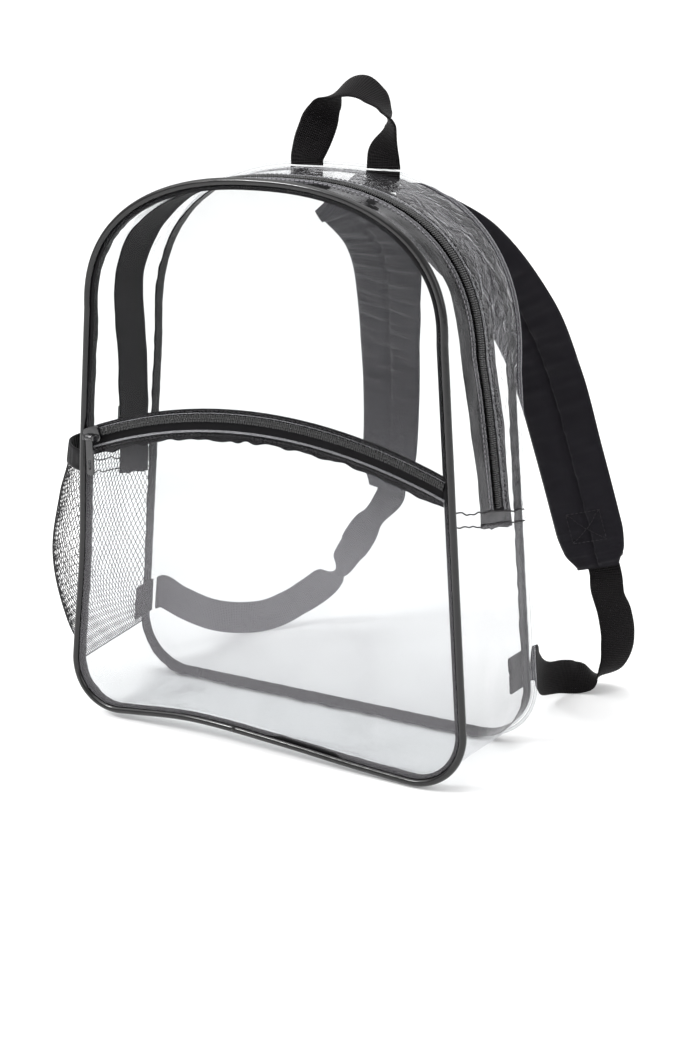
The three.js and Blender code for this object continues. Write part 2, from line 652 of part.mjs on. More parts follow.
// Local frame on the band: along the zipper downwards, out of the bag, across towards the back
function bandFrame(turn, depth, out) {
  const origin = bandPoint(turn, depth, out);
  const along = bandPoint(turn + MARGIN, depth, out).sub(origin).normalize();
  const backwards = bandPoint(turn, depth + MARGIN, out).sub(origin).normalize();
  const outward = new THREE.Vector3().crossVectors(backwards, along).normalize();
  const across = new THREE.Vector3().crossVectors(along, outward);
  return new THREE.Matrix4().makeBasis(along, outward, across).setPosition(origin);
}

// Slider of the main zipper with its pull, parked at the left end: one profile, seen from its side
function mainZipSlider() {
  const body = MAIN_SLIDER_LENGTH;
  const rise = MAIN_SLIDER_RISE;
  const tab = MAIN_PULL_THICKNESS;
  const profile = new THREE.Shape();
  profile.moveTo(0, 0);
  profile.lineTo(body, 0);
  profile.lineTo(body, rise * 0.6);
  profile.lineTo(body * 0.75, rise);
  profile.lineTo(MAIN_PULL_LENGTH + body * 0.3, rise);
  profile.lineTo(MAIN_PULL_LENGTH + body * 0.3, rise + tab);
  profile.lineTo(body * 0.2, rise + tab);
  profile.lineTo(0, rise * 0.5);
  const geometry = new THREE.ExtrudeGeometry(profile, { depth: MAIN_SLIDER_WIDTH, bevelEnabled: false });
  const turn = 1 - turnAtHeight(MAIN_SLIDER_HEIGHT, 0.5);
  const out = MAIN_COIL_HEIGHT - SHEET + 2 * GAP;
  const depth = zipCentre(turn) - millimetres(MAIN_SLIDER_WIDTH / 2);
  return geometry.applyMatrix4(bandFrame(turn, depth, out));
}

// Front pocket zipper
function pocketZipTape() {
  const heights = [POCKET_TAPE_ABOVE, 0, -POCKET_TAPE_BELOW];
  const inset = SEAM_INSET + BINDING_THICKNESS + GAP;
  const pointAt = (i, j, face) => {
    const edge = bandSection(turnAtHeight(POCKET_ZIP_END_HEIGHT + heights[j], 0), 0).point[0] - inset;
    const x = lerp(-edge, edge, i / POCKET_ZIP_STEPS);
    const z = pocketZip(x) + heights[j];
    const y = frontSurface(x, z) + SEAM_INSET + face * POCKET_TAPE_THICKNESS;
    return soften(new THREE.Vector3(x, y, z));
  };
  return wall(POCKET_ZIP_STEPS, heights.length - 1, pointAt);
}

function pocketZipCoil() {
  const half = POCKET_ZIP_HALF - GAP;
  const pointAt = (i, k) => {
    const angle = k / (COIL_SIDES - 1) * Math.PI;
    const x = lerp(-half, half, i / POCKET_ZIP_STEPS);
    const z = pocketZip(x) + Math.cos(angle) * POCKET_COIL_WIDTH / 2;
    const y = frontSurface(x, z) + SHEET - Math.sin(angle) * POCKET_COIL_HEIGHT;
    return soften(new THREE.Vector3(x, y, z));
  };
  return sweep(POCKET_ZIP_STEPS, COIL_SIDES, pointAt);
}

const toSolid = (geometry) => {
  const bare = geometry.clone();
  bare.deleteAttribute('normal');
  bare.deleteAttribute('uv');
  const merged = mergeVertices(bare, 1e-4);
  const vertProperties = new Float32Array(merged.attributes.position.array);
  const triVerts = new Uint32Array(merged.index.array);
  return new wasm.Manifold(new wasm.Mesh({ numProp: 3, vertProperties, triVerts }));
};

const toGeometry = (body) => {
  const mesh = body.getMesh();
  const geometry = new THREE.BufferGeometry();
  geometry.setAttribute('position', new THREE.Float32BufferAttribute(mesh.vertProperties, 3));
  geometry.setIndex([...mesh.triVerts]);
  geometry.computeVertexNormals();
  return geometry;
};

const joined = (geometries) => {
  const [first, ...rest] = geometries.map(toSolid);
  return toGeometry(rest.reduce((body, piece) => body.add(piece), first));
};

// Rounded rectangle about the origin
function roundedShape(width, height, radius) {
  const shape = new THREE.Shape();
  const [w, h] = [width / 2 - radius, height / 2 - radius];
  shape.absarc(w, h, radius, 0, Math.PI / 2);
  shape.absarc(-w, h, radius, Math.PI / 2, Math.PI);
  shape.absarc(-w, -h, radius, Math.PI, 1.5 * Math.PI);
  shape.absarc(w, -h, radius, 1.5 * Math.PI, 2 * Math.PI);
  shape.closePath();
  return shape;
}

// Place of the pocket slider: the bar that its pull hangs on, at the left end of the zipper
const SLIDER_X = -(POCKET_ZIP_HALF - SLIDER_FROM_EDGE);
const SLIDER_Z = pocketZip(SLIDER_X);
const SLIDER_BACK = frontSurface(SLIDER_X, SLIDER_Z) + SHEET - POCKET_COIL_HEIGHT - GAP;
const EYE_RADIUS = BAR_DIAMETER / 2 + PULL_EYE_CLEARANCE + PULL_EYE_WALL;
const BAR_Y = SLIDER_BACK - SLIDER_THICKNESS - PULL_EYE_CLEARANCE - EYE_RADIUS;
const BAR_Z = SLIDER_Z - SLIDER_HEIGHT * 0.12;
const SLIDER_CORNER = SLIDER_HEIGHT * 0.28;
const SLIDER_TILT = Math.atan(2 * POCKET_ZIP_RISE * -SLIDER_X / POCKET_ZIP_HALF ** 2);

// Slider body with two lugs and the bar between them
function pocketZipSlider() {
  const curve = { bevelEnabled: false, curveSegments: ROUND_STEPS.corner };
  const outline = roundedShape(SLIDER_LENGTH, SLIDER_HEIGHT, SLIDER_CORNER);
  const body = new THREE.ExtrudeGeometry(outline, { ...curve, depth: SLIDER_THICKNESS });
  body.rotateX(Math.PI / 2).rotateY(-SLIDER_TILT);
  body.translate(SLIDER_X, SLIDER_BACK, SLIDER_Z);
  const rooted = SLIDER_THICKNESS * 0.4;
  const lugLength = LUG_REACH + rooted;
  const lugHeight = BAR_DIAMETER * 2;
  const room = PULL_WIDTH / 2 + PULL_EYE_CLEARANCE;
  const pieces = [body];
  for (const side of [-1, 1]) {
    const lug = new THREE.BoxGeometry(LUG_THICKNESS, lugLength, lugHeight);
    const y = SLIDER_BACK - SLIDER_THICKNESS + rooted - lugLength / 2;
    pieces.push(lug.translate(SLIDER_X + side * (room + LUG_THICKNESS / 2), y, BAR_Z));
  }
  const radius = BAR_DIAMETER / 2;
  const bar = new THREE.CylinderGeometry(radius, radius, 2 * room + LUG_THICKNESS, ROUND_STEPS.bar);
  pieces.push(bar.rotateZ(Math.PI / 2).translate(SLIDER_X, BAR_Y, BAR_Z));
  return joined(pieces);
}

// Pull: an eye round the bar and a flat tab with a slot near its end
function pocketZipPull() {
  const ring = new THREE.Shape();
  ring.absarc(0, 0, EYE_RADIUS, 0, 2 * Math.PI);
  const bore = new THREE.Path();
  bore.absarc(0, 0, BAR_DIAMETER / 2 + PULL_EYE_CLEARANCE, 0, 2 * Math.PI);
  ring.holes.push(bore);
  const round = { bevelEnabled: false, curveSegments: ROUND_STEPS.eye };
  const eye = new THREE.ExtrudeGeometry(ring, { ...round, depth: PULL_WIDTH });
  eye.translate(0, 0, -PULL_WIDTH / 2).rotateY(Math.PI / 2);
  const tabShape = roundedShape(PULL_WIDTH, PULL_LENGTH, PULL_WIDTH * 0.3);
  const slot = roundedShape(PULL_SLOT_WIDTH, PULL_SLOT_LENGTH, PULL_SLOT_WIDTH * 0.4);
  const slotRim = slot.getPoints(2).map((p) => new THREE.Vector2(p.x, p.y - PULL_SLOT_DROP));
  tabShape.holes.push(new THREE.Path(slotRim));
  const flat = { bevelEnabled: false, curveSegments: ROUND_STEPS.corner };
  const tab = new THREE.ExtrudeGeometry(tabShape, { ...flat, depth: PULL_THICKNESS });
  const drop = BAR_DIAMETER / 2 + PULL_EYE_CLEARANCE + PULL_EYE_WALL * 0.4 + PULL_LENGTH / 2;
  tab.rotateX(Math.PI / 2).translate(0, PULL_THICKNESS / 2, -drop);
  return joined([eye, tab]).translate(SLIDER_X, BAR_Y, BAR_Z);
}

// Net side pocket on the left: up runs from its bottom seam to the band's lower edge
function netPoint(across, up, out) {
  const height = lerp(NET_BOTTOM_HEIGHT, NET_BAND_BOTTOM, up);
  const start = millimetres(PIPING_DIAMETER);
  const end = 1 - millimetres(BACK_EDGE_DIAMETER + GAP);
  const depth = lerp(start, end, across);
  const fullness = tableValue(NET_FULLNESS, up) * Math.sin(across ** NET_FORWARD * Math.PI) ** NET_ROUND;
  return bandPoint(1 - turnAtHeight(height, depth), depth, 2 * GAP + NET_BULGE * fullness + out);
}

// Net with a diamond gap in each cell
function sidePocketNet() {
  const [columns, rows] = [NET_COLUMNS, NET_ROWS];
  const top = 1 - GAP / (NET_BAND_BOTTOM - NET_BOTTOM_HEIGHT);
  const reach = NET_GAP_REACH;
  const positions = [];
  const triangles = [];
  const at = (i, j, face) => netPoint(i / columns, j / rows * top, face ? 0 : NET_THICKNESS);
  for (const face of [0, 1]) {
    for (let i = 0; i <= columns; i += 1) {
      for (let j = 0; j <= rows; j += 1) positions.push(at(i, j, face));
    }
  }
  const id = (i, j, face) => (face * (columns + 1) + i) * (rows + 1) + j;
  const quad = (a, b, c, d) => triangles.push([a, b, c], [a, c, d]);
  for (let i = 0; i < columns; i += 1) {
    for (let j = 0; j < rows; j += 1) {
      const holes = [0, 1].map((face) => {
        const [x, y] = [i + 0.5, j + 0.5];
        const first = positions.length;
        positions.push(at(x, y - reach, face), at(x + reach, y, face), at(x, y + reach, face));
        positions.push(at(x - reach, y, face));
        return [first, first + 1, first + 2, first + 3];
      });
      for (const face of [0, 1]) {
        const cell = [id(i, j, face), id(i + 1, j, face), id(i + 1, j + 1, face), id(i, j + 1, face)];
        for (let k = 0; k < 4; k += 1) {
          const next = (k + 1) % 4;
          const [p, q, r, s] = [cell[k], cell[next], holes[face][next], holes[face][k]];
          const strip = [[p, q, s], [q, r, s]];
          strip.forEach(([a, b, c]) => triangles.push(face ? [a, c, b] : [a, b, c]));
        }
      }
      for (let k = 0; k < 4; k += 1) {
        const next = (k + 1) % 4;
        quad(holes[0][k], holes[0][next], holes[1][next], holes[1][k]);
      }
    }
  }
  for (let i = 0; i < columns; i += 1) {
    quad(id(i, 0, 0), id(i, 0, 1), id(i + 1, 0, 1), id(i + 1, 0, 0));
    quad(id(i, rows, 0), id(i + 1, rows, 0), id(i + 1, rows, 1), id(i, rows, 1));
  }
  for (let j = 0; j < rows; j += 1) {
    quad(id(0, j, 0), id(0, j + 1, 0), id(0, j + 1, 1), id(0, j, 1));
    quad(id(columns, j, 0), id(columns, j, 1), id(columns, j + 1, 1), id(columns, j + 1, 0));
  }
  return solid(positions, triangles);
}

function sidePocketBand() {
  const height = NET_BAND_HEIGHT / (NET_BAND_BOTTOM - NET_BOTTOM_HEIGHT);
  const pointAt = (i, j, face) => netPoint(i / NET_BAND_STEPS, 1 + j * height, face ? 0 : NET_BAND_THICKNESS);
  return wall(NET_BAND_STEPS, 1, pointAt);
}

// Flat band along a list of rows { centre, across, width }, its section given as shares of width and
// thickness
function ribbon(rows, thickness, section, steps) {
  const curve = new THREE.CatmullRomCurve3(rows.map((row) => row.centre), false, 'centripetal');
  const last = rows.length - 1;
  const frames = [];
  for (let i = 0; i <= steps; i += 1) {
    const place = i / steps;
    const k = Math.min(Math.floor(place * last), last - 1);
    const s = smooth(place * last - k);
    const tangent = curve.getTangent(place);
    const across = rows[k].across.clone().lerp(rows[k + 1].across, s);
    across.addScaledVector(tangent, -across.dot(tangent)).normalize();
    const normal = new THREE.Vector3().crossVectors(tangent, across);
    const width = lerp(rows[k].width, rows[k + 1].width, s);
    frames.push({ centre: curve.getPoint(place), across, normal, width });
  }
  const pointAt = (i, k) => {
    const { centre, across, normal, width } = frames[i];
    const [a, n] = section[k];
    return centre.clone().addScaledVector(across, a * width).addScaledVector(normal, n * thickness);
  };
  return sweep(steps, section.length, pointAt);
}
const FLAT_SECTION = [[-0.5, -0.5], [0.5, -0.5], [0.5, 0.5], [-0.5, 0.5]];
const PAD_SECTION = [
  [-0.5, -0.12], [-0.42, -0.5], [-0.02, -0.5], [0.02, -0.5], [0.42, -0.5], [0.5, -0.12],
  [0.5, 0.12], [0.42, 0.5], [0.02, 0.5], [-0.02, 0.5], [-0.42, 0.5], [-0.5, 0.12],
];

function grabHandle() {
  const y = BACK_FACE + BACK_LEAN - BACK_EDGE_DIAMETER - GAP - HANDLE_THICKNESS;
  const foot = BAG_HEIGHT - GAP;
  const rows = HANDLE_ROWS.map(({ along, up, turn, lift }) => {
    const angle = THREE.MathUtils.degToRad(turn);
    const centre = new THREE.Vector3(HANDLE_OFFSET + along * HANDLE_SPAN, y, foot + up * HANDLE_HEIGHT);
    return { centre, across: new THREE.Vector3(Math.cos(angle), Math.sin(angle), lift), width: HANDLE_WIDTH };
  });
  return ribbon(rows, HANDLE_THICKNESS, FLAT_SECTION, HANDLE_STEPS);
}

// Place behind the back panel from shares of the named sizes
function behindPoint({ across, up, behind }, lift) {
  const z = up * BAG_HEIGHT;
  const y = backPlane(z) + PANEL_CROWN + 2 * GAP + lift + behind * STRAP_REACH;
  return new THREE.Vector3(across * BACK_WIDTH / 2, y, z);
}

const padRows = (table) => table.map((row) => {
  const angle = THREE.MathUtils.degToRad(row.lean);
  const across = new THREE.Vector3(Math.cos(angle), 0, -Math.sin(angle));
  return { centre: behindPoint(row, PAD_THICKNESS / 2), across, width: row.width * PAD_WIDTH };
});

const shoulderPad = (table) => ribbon(padRows(table), PAD_THICKNESS, PAD_SECTION, PAD_STEPS);

// Frame at a pad's end: along the strap downwards, across it, and away from the bag
function padEnd(table) {
  const rows = padRows(table);
  const [before, end] = rows.slice(-2);
  const along = end.centre.clone().sub(before.centre).normalize();
  const across = end.across.clone().addScaledVector(along, -end.across.dot(along)).normalize();
  const away = new THREE.Vector3().crossVectors(across, along).normalize();
  if (away.y < 0) away.negate();
  return { centre: end.centre, along, across, away };
}

// Adjuster behind the pad's end: a plastic frame with two slots
function ladderLock(table) {
  const { centre, along, across, away } = padEnd(table);
  const plate = roundedShape(LOCK_WIDTH, LOCK_HEIGHT, LOCK_CORNER);
  const slotHeight = (LOCK_HEIGHT - 3 * LOCK_BAR) / 2;
  const half = LOCK_WIDTH / 2 - LOCK_SIDE;
  for (const side of [-1, 1]) {
    const middle = side * (slotHeight + LOCK_BAR) / 2;
    const [low, high] = [middle - slotHeight / 2, middle + slotHeight / 2];
    const slot = new THREE.Path();
    slot.moveTo(-half, low).lineTo(-half, high).lineTo(half, high).lineTo(half, low).closePath();
    plate.holes.push(slot);
  }
  const flat = { bevelEnabled: false, curveSegments: ROUND_STEPS.corner };
  const geometry = new THREE.ExtrudeGeometry(plate, { ...flat, depth: LOCK_THICKNESS });
  const origin = centre.clone().addScaledVector(along, -LOCK_FROM_PAD_END - LOCK_HEIGHT / 2);
  origin.addScaledVector(away, PAD_THICKNESS / 2 + GAP);
  const upAlong = along.clone().negate();
  const sideways = new THREE.Vector3().crossVectors(upAlong, away);
  return geometry.applyMatrix4(new THREE.Matrix4().makeBasis(sideways, upAlong, away).setPosition(origin));
}

// Adjusting webbing: over the lower bar of the lock, down to the floor and up to the bag's corner
function strapWebbing(padTable, webTable) {
  const { centre, along, across, away } = padEnd(padTable);
  const lockBack = PAD_THICKNESS / 2 + GAP + LOCK_THICKNESS;
  const place = (down, out) => {
    const spot = centre.clone().addScaledVector(along, down);
    return spot.addScaledVector(away, lockBack + GAP + WEBBING_THICKNESS / 2 + out);
  };
  const inSlot = -LOCK_FROM_PAD_END - LOCK_BAR;
  const start = [
    { centre: place(inSlot, GAP), across, width: WEBBING_WIDTH },
    { centre: place(inSlot / 2, GAP / 2), across, width: WEBBING_WIDTH },
    { centre: place(-inSlot, 0), across, width: WEBBING_WIDTH },
  ];
  const rest = webTable.map((row) => {
    const direction = new THREE.Vector3(row.side, row.back, row.rise).normalize();
    return { centre: behindPoint(row, WEBBING_THICKNESS / 2), across: direction, width: WEBBING_WIDTH };
  });
  return ribbon([...start, ...rest], WEBBING_THICKNESS, FLAT_SECTION, WEBBING_STEPS);
}

// End of the webbing where it is sewn in, seen inside the bag at the lower back corner
function strapTail(side) {
  const rise = WEBBING_WIDTH / 2;
  const out = -SEAM_INSET - BINDING_THICKNESS - GAP;
  const pointAt = (i, j, face) => {
    const depth = 1 - millimetres(GAP) - (1 - i) * millimetres(TAIL_LENGTH);
    const turn = turnAtHeight(TAIL_HEIGHT + (2 * j - 1) * rise, depth);
    return bandPoint(side > 0 ? turn : 1 - turn, depth, out - face * WEBBING_THICKNESS);
  };
  return wall(1, 1, pointAt);
}

// Materials
const finish = (color, roughness, metalness, extra = {}) => (
  new THREE.MeshStandardMaterial({ color, roughness, metalness, ...extra })
);
const clearVinyl = () => finish(0xe9ecee, 0.12, 0, { transparent: true, opacity: 0.2 });
const blackVinyl = () => finish(0x121113, 0.3, 0);
const blackTape = () => finish(0x1b1a1c, 0.7, 0);
const blackNylon = () => finish(0x1d1b1e, 0.75, 0);
const blackPlastic = () => finish(0x101012, 0.35, 0);
const blackEnamel = () => finish(0x141416, 0.3, 0.6);

const bag = new THREE.Group();
function place(name, geometry, material) {
  const mesh = new THREE.Mesh(geometry, material);
  mesh.name = name;
  bag.add(mesh);
}

place('front_panel_upper', frontPanelUpper(), clearVinyl());
place('front_panel_lower', frontPanelLower(), clearVinyl());
place('pocket_back_sheet', pocketBackSheet(), clearVinyl());
place('back_panel', backPanel(), clearVinyl());
place('gusset_front_strip', gussetFrontStrip(), clearVinyl());
place('gusset_rear_strip', gussetRearStrip(), clearVinyl());
place('gusset_base', gussetBase(), clearVinyl());
const piping = edgeCord(PIPING_DIAMETER, PIPING_SIDES, FRONT_OUTLINE, frontPlane, SHEET);
place('front_piping', piping, blackVinyl());
const backInset = -BACK_EDGE_DIAMETER / 2;
const backEdge = edgeCord(BACK_EDGE_DIAMETER, BACK_EDGE_SIDES, BACK_OUTLINE, backPlane, backInset);
place('back_seam_edge', backEdge, clearVinyl());
place('front_seam_binding', seamBinding(true), blackTape());
place('back_seam_binding', seamBinding(false), blackTape());
place('main_zip_tape', mainZipTape(), blackTape());
place('main_zip_coil', mainZipCoil(), blackPlastic());
place('main_zip_slider', mainZipSlider(), blackEnamel());
place('pocket_zip_tape', pocketZipTape(), blackTape());
place('pocket_zip_coil', pocketZipCoil(), blackPlastic());
place('pocket_zip_slider', pocketZipSlider(), blackEnamel());
place('pocket_zip_pull', pocketZipPull(), blackEnamel());
place('side_pocket_net', sidePocketNet(), blackNylon());
place('side_pocket_band', sidePocketBand(), blackTape());
place('grab_handle', grabHandle(), blackNylon());
const straps = [
  { side: 'right', sign: 1, pad: PAD_RIGHT, web: WEB_RIGHT },
  { side: 'left', sign: -1, pad: PAD_LEFT, web: WEB_LEFT },
];
for (const { side, sign, pad, web } of straps) {
  place(`shoulder_pad_${side}`, shoulderPad(pad), blackNylon());
  place(`ladder_lock_${side}`, ladderLock(pad), blackPlastic());
  place(`strap_webbing_${side}`, strapWebbing(pad, web), blackNylon());
  place(`strap_tail_${side}`, strapTail(sign), blackNylon());
}

export default bag;
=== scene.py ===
"""Clear stadium backpack: clear vinyl sheets, black piping and tapes, zippers, net pocket, handle and straps,
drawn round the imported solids. Shapes are worked out in millimetres and put into the meshes in metres."""

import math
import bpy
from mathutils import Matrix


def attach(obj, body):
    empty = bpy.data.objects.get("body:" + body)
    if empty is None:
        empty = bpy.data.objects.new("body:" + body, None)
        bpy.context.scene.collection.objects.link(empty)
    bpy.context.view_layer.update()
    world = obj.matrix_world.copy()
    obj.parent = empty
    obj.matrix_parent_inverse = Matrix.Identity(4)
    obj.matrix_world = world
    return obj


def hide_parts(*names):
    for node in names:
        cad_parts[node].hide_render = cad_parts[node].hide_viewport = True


bl_info = {
    "name": "Clear Backpack",
    "version": (1, 0, 0),
    "blender": (4, 5, 0),
    "location": "View3D > Sidebar > Backpack",
    "description": "Builds a clear vinyl backpack with its webbing, net and zippers",
    "category": "Object",
}

import bpy
import numpy as np
from bpy.props import FloatProperty, FloatVectorProperty, PointerProperty
from mathutils import Vector

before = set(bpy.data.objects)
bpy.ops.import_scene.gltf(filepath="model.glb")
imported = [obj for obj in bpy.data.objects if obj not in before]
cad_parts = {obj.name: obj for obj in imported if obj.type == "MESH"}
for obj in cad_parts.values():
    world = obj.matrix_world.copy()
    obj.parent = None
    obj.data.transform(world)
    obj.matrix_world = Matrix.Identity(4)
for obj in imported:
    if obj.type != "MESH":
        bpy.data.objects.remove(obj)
BAG_BODY = "bag"
PULL_BODY = "pocket_pull"
MM = 0.001

# Sizes of the bag in millimetres, as in the part's source
BAG_HEIGHT = 387
BAG_DEPTH = 102
BACK_WIDTH = 326
CORNER_RADIUS = 41
FRONT_LEAN = 8
BACK_LEAN = 3
PANEL_CROWN = 2
GAP = 0.3
SHEET = 1
PIPING_DIAMETER = 5
BACK_EDGE_DIAMETER = 3
BINDING_WIDTH = 11
BINDING_THICKNESS = 1.1
JOINT_FRONT_HEIGHT = 188
JOINT_BACK_HEIGHT = 168
MAIN_TAPE_WIDTH = 42
MAIN_TAPE_TAIL = 12
MAIN_ZIP_WINDOW = 16
MAIN_COIL_WIDTH = 8
MAIN_COIL_HEIGHT = 2.2
POCKET_ZIP_END_HEIGHT = 205
POCKET_ZIP_RISE = 27
POCKET_TAPE_ABOVE = 6
POCKET_TAPE_BELOW = 15
POCKET_UPPER_EDGE = 3.3
POCKET_LOWER_EDGE = 8.7
POCKET_COIL_WIDTH = 5.5
POCKET_COIL_HEIGHT = 2.2
POCKET_DEPTH = 7
NET_BOTTOM_HEIGHT = 38
NET_BAND_BOTTOM = 177
NET_BAND_HEIGHT = 15
NET_BULGE = 42
NET_FORWARD = 0.62
NET_ROUND = 0.8
HANDLE_WIDTH = 25
HANDLE_THICKNESS = 2
HANDLE_HEIGHT = 56
HANDLE_OFFSET = 12
HANDLE_SPAN = 54
PAD_WIDTH = 54
PAD_THICKNESS = 7
STRAP_REACH = 130
WEBBING_WIDTH = 25
WEBBING_THICKNESS = 1.6
LOCK_THICKNESS = 4
LOCK_BAR = 4
LOCK_FROM_PAD_END = 4
TAIL_LENGTH = 24
TAIL_HEIGHT = 58
BOW_RISE = 11
BOW_REACH_BACK = 32
BOW_REACH_UP = 110
PINCH = 3
PINCH_HEIGHT = 125
PINCH_REACH = 55

# Shares of the outline's length, from the middle of the bottom to the middle of the top
BOTTOM_END = 0.093
CORNER_END = 0.143
SIDE_END = 0.347
TOP = 0.5

# Tables of place and value, as in the part's source
BOW = ((-1, 0), (-0.7, 0.55), (-0.35, 1), (0.1, 0.72), (0.5, 0.3), (0.8, 0.08), (1, 0))
ZIP_PATH = ((0, 0.65), (0.25, 0.575), (0.42, 0.48), (0.6, 0.44), (1, 0.43))
BASE_SWELL = ((0, 0), (0.12, 0.45), (0.35, 1), (0.85, 1), (1, 0))
NET_FULLNESS = ((0, 0), (0.15, 0.64), (0.45, 1.05), (0.8, 0.93), (1, 0.74), (1.15, 0.68))
# Handle: along, up, turn in degrees, and how far the width leans upwards
HANDLE_ROWS = (
    (-0.5, 0, 0, 0), (-0.5, 0.1, 0, 0), (-0.37, 0.4, 22, 0.05), (-0.23, 0.69, 48, 0.3),
    (-0.05, 0.87, 69, 0.62), (0.2, 0.94, 86, 0.6), (0.43, 0.84, 98, 0.5), (0.59, 0.67, 113, 0.35),
    (0.66, 0.47, 134, 0.1), (0.57, 0.14, 176, 0), (0.57, 0, 180, 0),
)
# Padded straps: across, up, behind, width, lean in degrees
PAD_RIGHT = (
    (0.27, 0.933, 0.0225, 0.62, -12), (0.37, 0.921, 0.052, 0.84, -30), (0.55, 0.857, 0.19, 1, -42),
    (0.7, 0.745, 0.42, 1, -26), (0.79, 0.62, 0.58, 0.98, -16), (0.89, 0.48, 0.62, 0.96, -15),
    (0.99, 0.345, 0.63, 0.96, -15), (1.045, 0.27, 0.63, 0.8, -15),
)
PAD_LEFT = (
    (0, 0.952, 0.014, 0.92, -6), (0.055, 0.925, 0.05, 0.95, -14), (0.085, 0.842, 0.33, 1, -4),
    (0.01, 0.737, 0.6, 0.97, 8), (-0.058, 0.643, 0.79, 0.93, 8), (-0.117, 0.53, 0.96, 0.9, 4),
    (-0.137, 0.415, 1, 0.88, 12), (-0.172, 0.316, 1.03, 0.74, 19),
)
# Webbing of the straps: across, up, behind, then the direction of its width
WEB_RIGHT = (
    (1.065, 0.215, 0.74, 1, 0.1, 0.05), (1.085, 0.17, 0.8, 0.97, 0.3, 0.1),
    (1.09, 0.11, 0.86, 0.85, 0.55, 0.1),
    (1.065, 0.055, 0.88, 0.6, 0.8, 0.1), (1, 0.026, 0.86, 0.3, 0.95, 0.1),
    (0.935, 0.027, 0.8, 0.1, 0.9, 0.45),
    (0.885, 0.038, 0.68, 0, 0.4, 0.9), (0.865, 0.054, 0.5, 0, 0.1, 1), (0.905, 0.1, 0.26, 0, 0, 1),
    (0.945, 0.14, 0.09, 0, 0, 1), (0.95, 0.147, 0.012, 0, 0, 1),
)
WEB_LEFT = (
    (-0.25, 0.245, 1.03, 0.9, 0, 0.4), (-0.35, 0.18, 1.03, 0.75, 0, 0.65), (-0.46, 0.113, 1, 0.55, 0.1, 0.8),
    (-0.6, 0.062, 0.94, 0.35, 0.25, 0.85), (-0.715, 0.034, 0.82, 0.2, 0.6, 0.75),
    (-0.8, 0.035, 0.67, 0, 0.6, 0.8), (-0.88, 0.056, 0.48, -0.2, 0.35, 0.9),
    (-0.945, 0.098, 0.28, -0.15, 0.2, 1),
    (-0.962, 0.14, 0.1, 0, 0, 1), (-0.95, 0.147, 0.012, 0, 0, 1),
)

# Sizes that follow from the ones above
PIPING_REACH = PIPING_DIAMETER + GAP
BACK_EDGE_REACH = BACK_EDGE_DIAMETER + GAP
SEAM_INSET = SHEET + GAP
SPAN = BAG_DEPTH - 2 * SEAM_INSET
FRONT = {
    "half": 311 / 2 - PIPING_REACH, "shoulder": 271 / 2 - PIPING_REACH, "bottom": PIPING_REACH + GAP,
    "arch": 294, "top": BAG_HEIGHT - PIPING_REACH, "corner": CORNER_RADIUS - PIPING_REACH, "power": 2.3,
}
BACK = {
    "half": BACK_WIDTH / 2 - BACK_EDGE_REACH, "shoulder": 288 / 2 - BACK_EDGE_REACH,
    "bottom": BACK_EDGE_REACH + GAP, "arch": 261, "top": BAG_HEIGHT - GAP,
    "corner": CORNER_RADIUS - BACK_EDGE_REACH, "power": 2.5,
}


def srgb(code, alpha=1.0):
    """Linear colour of an sRGB hex value: each channel is bent by the sRGB curve."""
    code = code.lstrip("#")
    channels = [int(code[i:i + 2], 16) / 255 for i in (0, 2, 4)]
    linear = [c / 12.92 if c <= 0.04045 else ((c + 0.055) / 1.055) ** 2.4 for c in channels]
    return (*linear, alpha)


# ---------------------------------------------------------------- shape functions


def lerp(a, b, t):
    return a + (b - a) * t


def smooth(t):
    """3t2 - 2t3, level outside 0 to 1."""
    t = np.clip(t, 0, 1)
    return t * t * (3 - 2 * t)


def curve_value(rows, at):
    """Smooth curve through (place, value) rows: on each span a cubic whose end slopes are the slopes between
    the rows on either side."""
    x, v = np.array(rows, float).T
    at = np.clip(at, x[0], x[-1])
    i = np.clip(np.searchsorted(x, at, side="left") - 1, 0, len(x) - 2)
    last = len(x) - 1
    before, after = np.maximum(np.arange(len(x)) - 1, 0), np.minimum(np.arange(len(x)) + 1, last)
    slope = (v[after] - v[before]) / (x[after] - x[before])
    step = x[i + 1] - x[i]
    s = (at - x[i]) / step
    level = v[i] + (v[i + 1] - v[i]) * s * s * (3 - 2 * s)
    return level + step * s * (1 - s) * (slope[i] * (1 - s) - slope[i + 1] * s)


def line_value(rows, at):
    """Straight lines through (place, value) rows."""
    x, v = np.array(rows, float).T
    return np.interp(at, x, v)


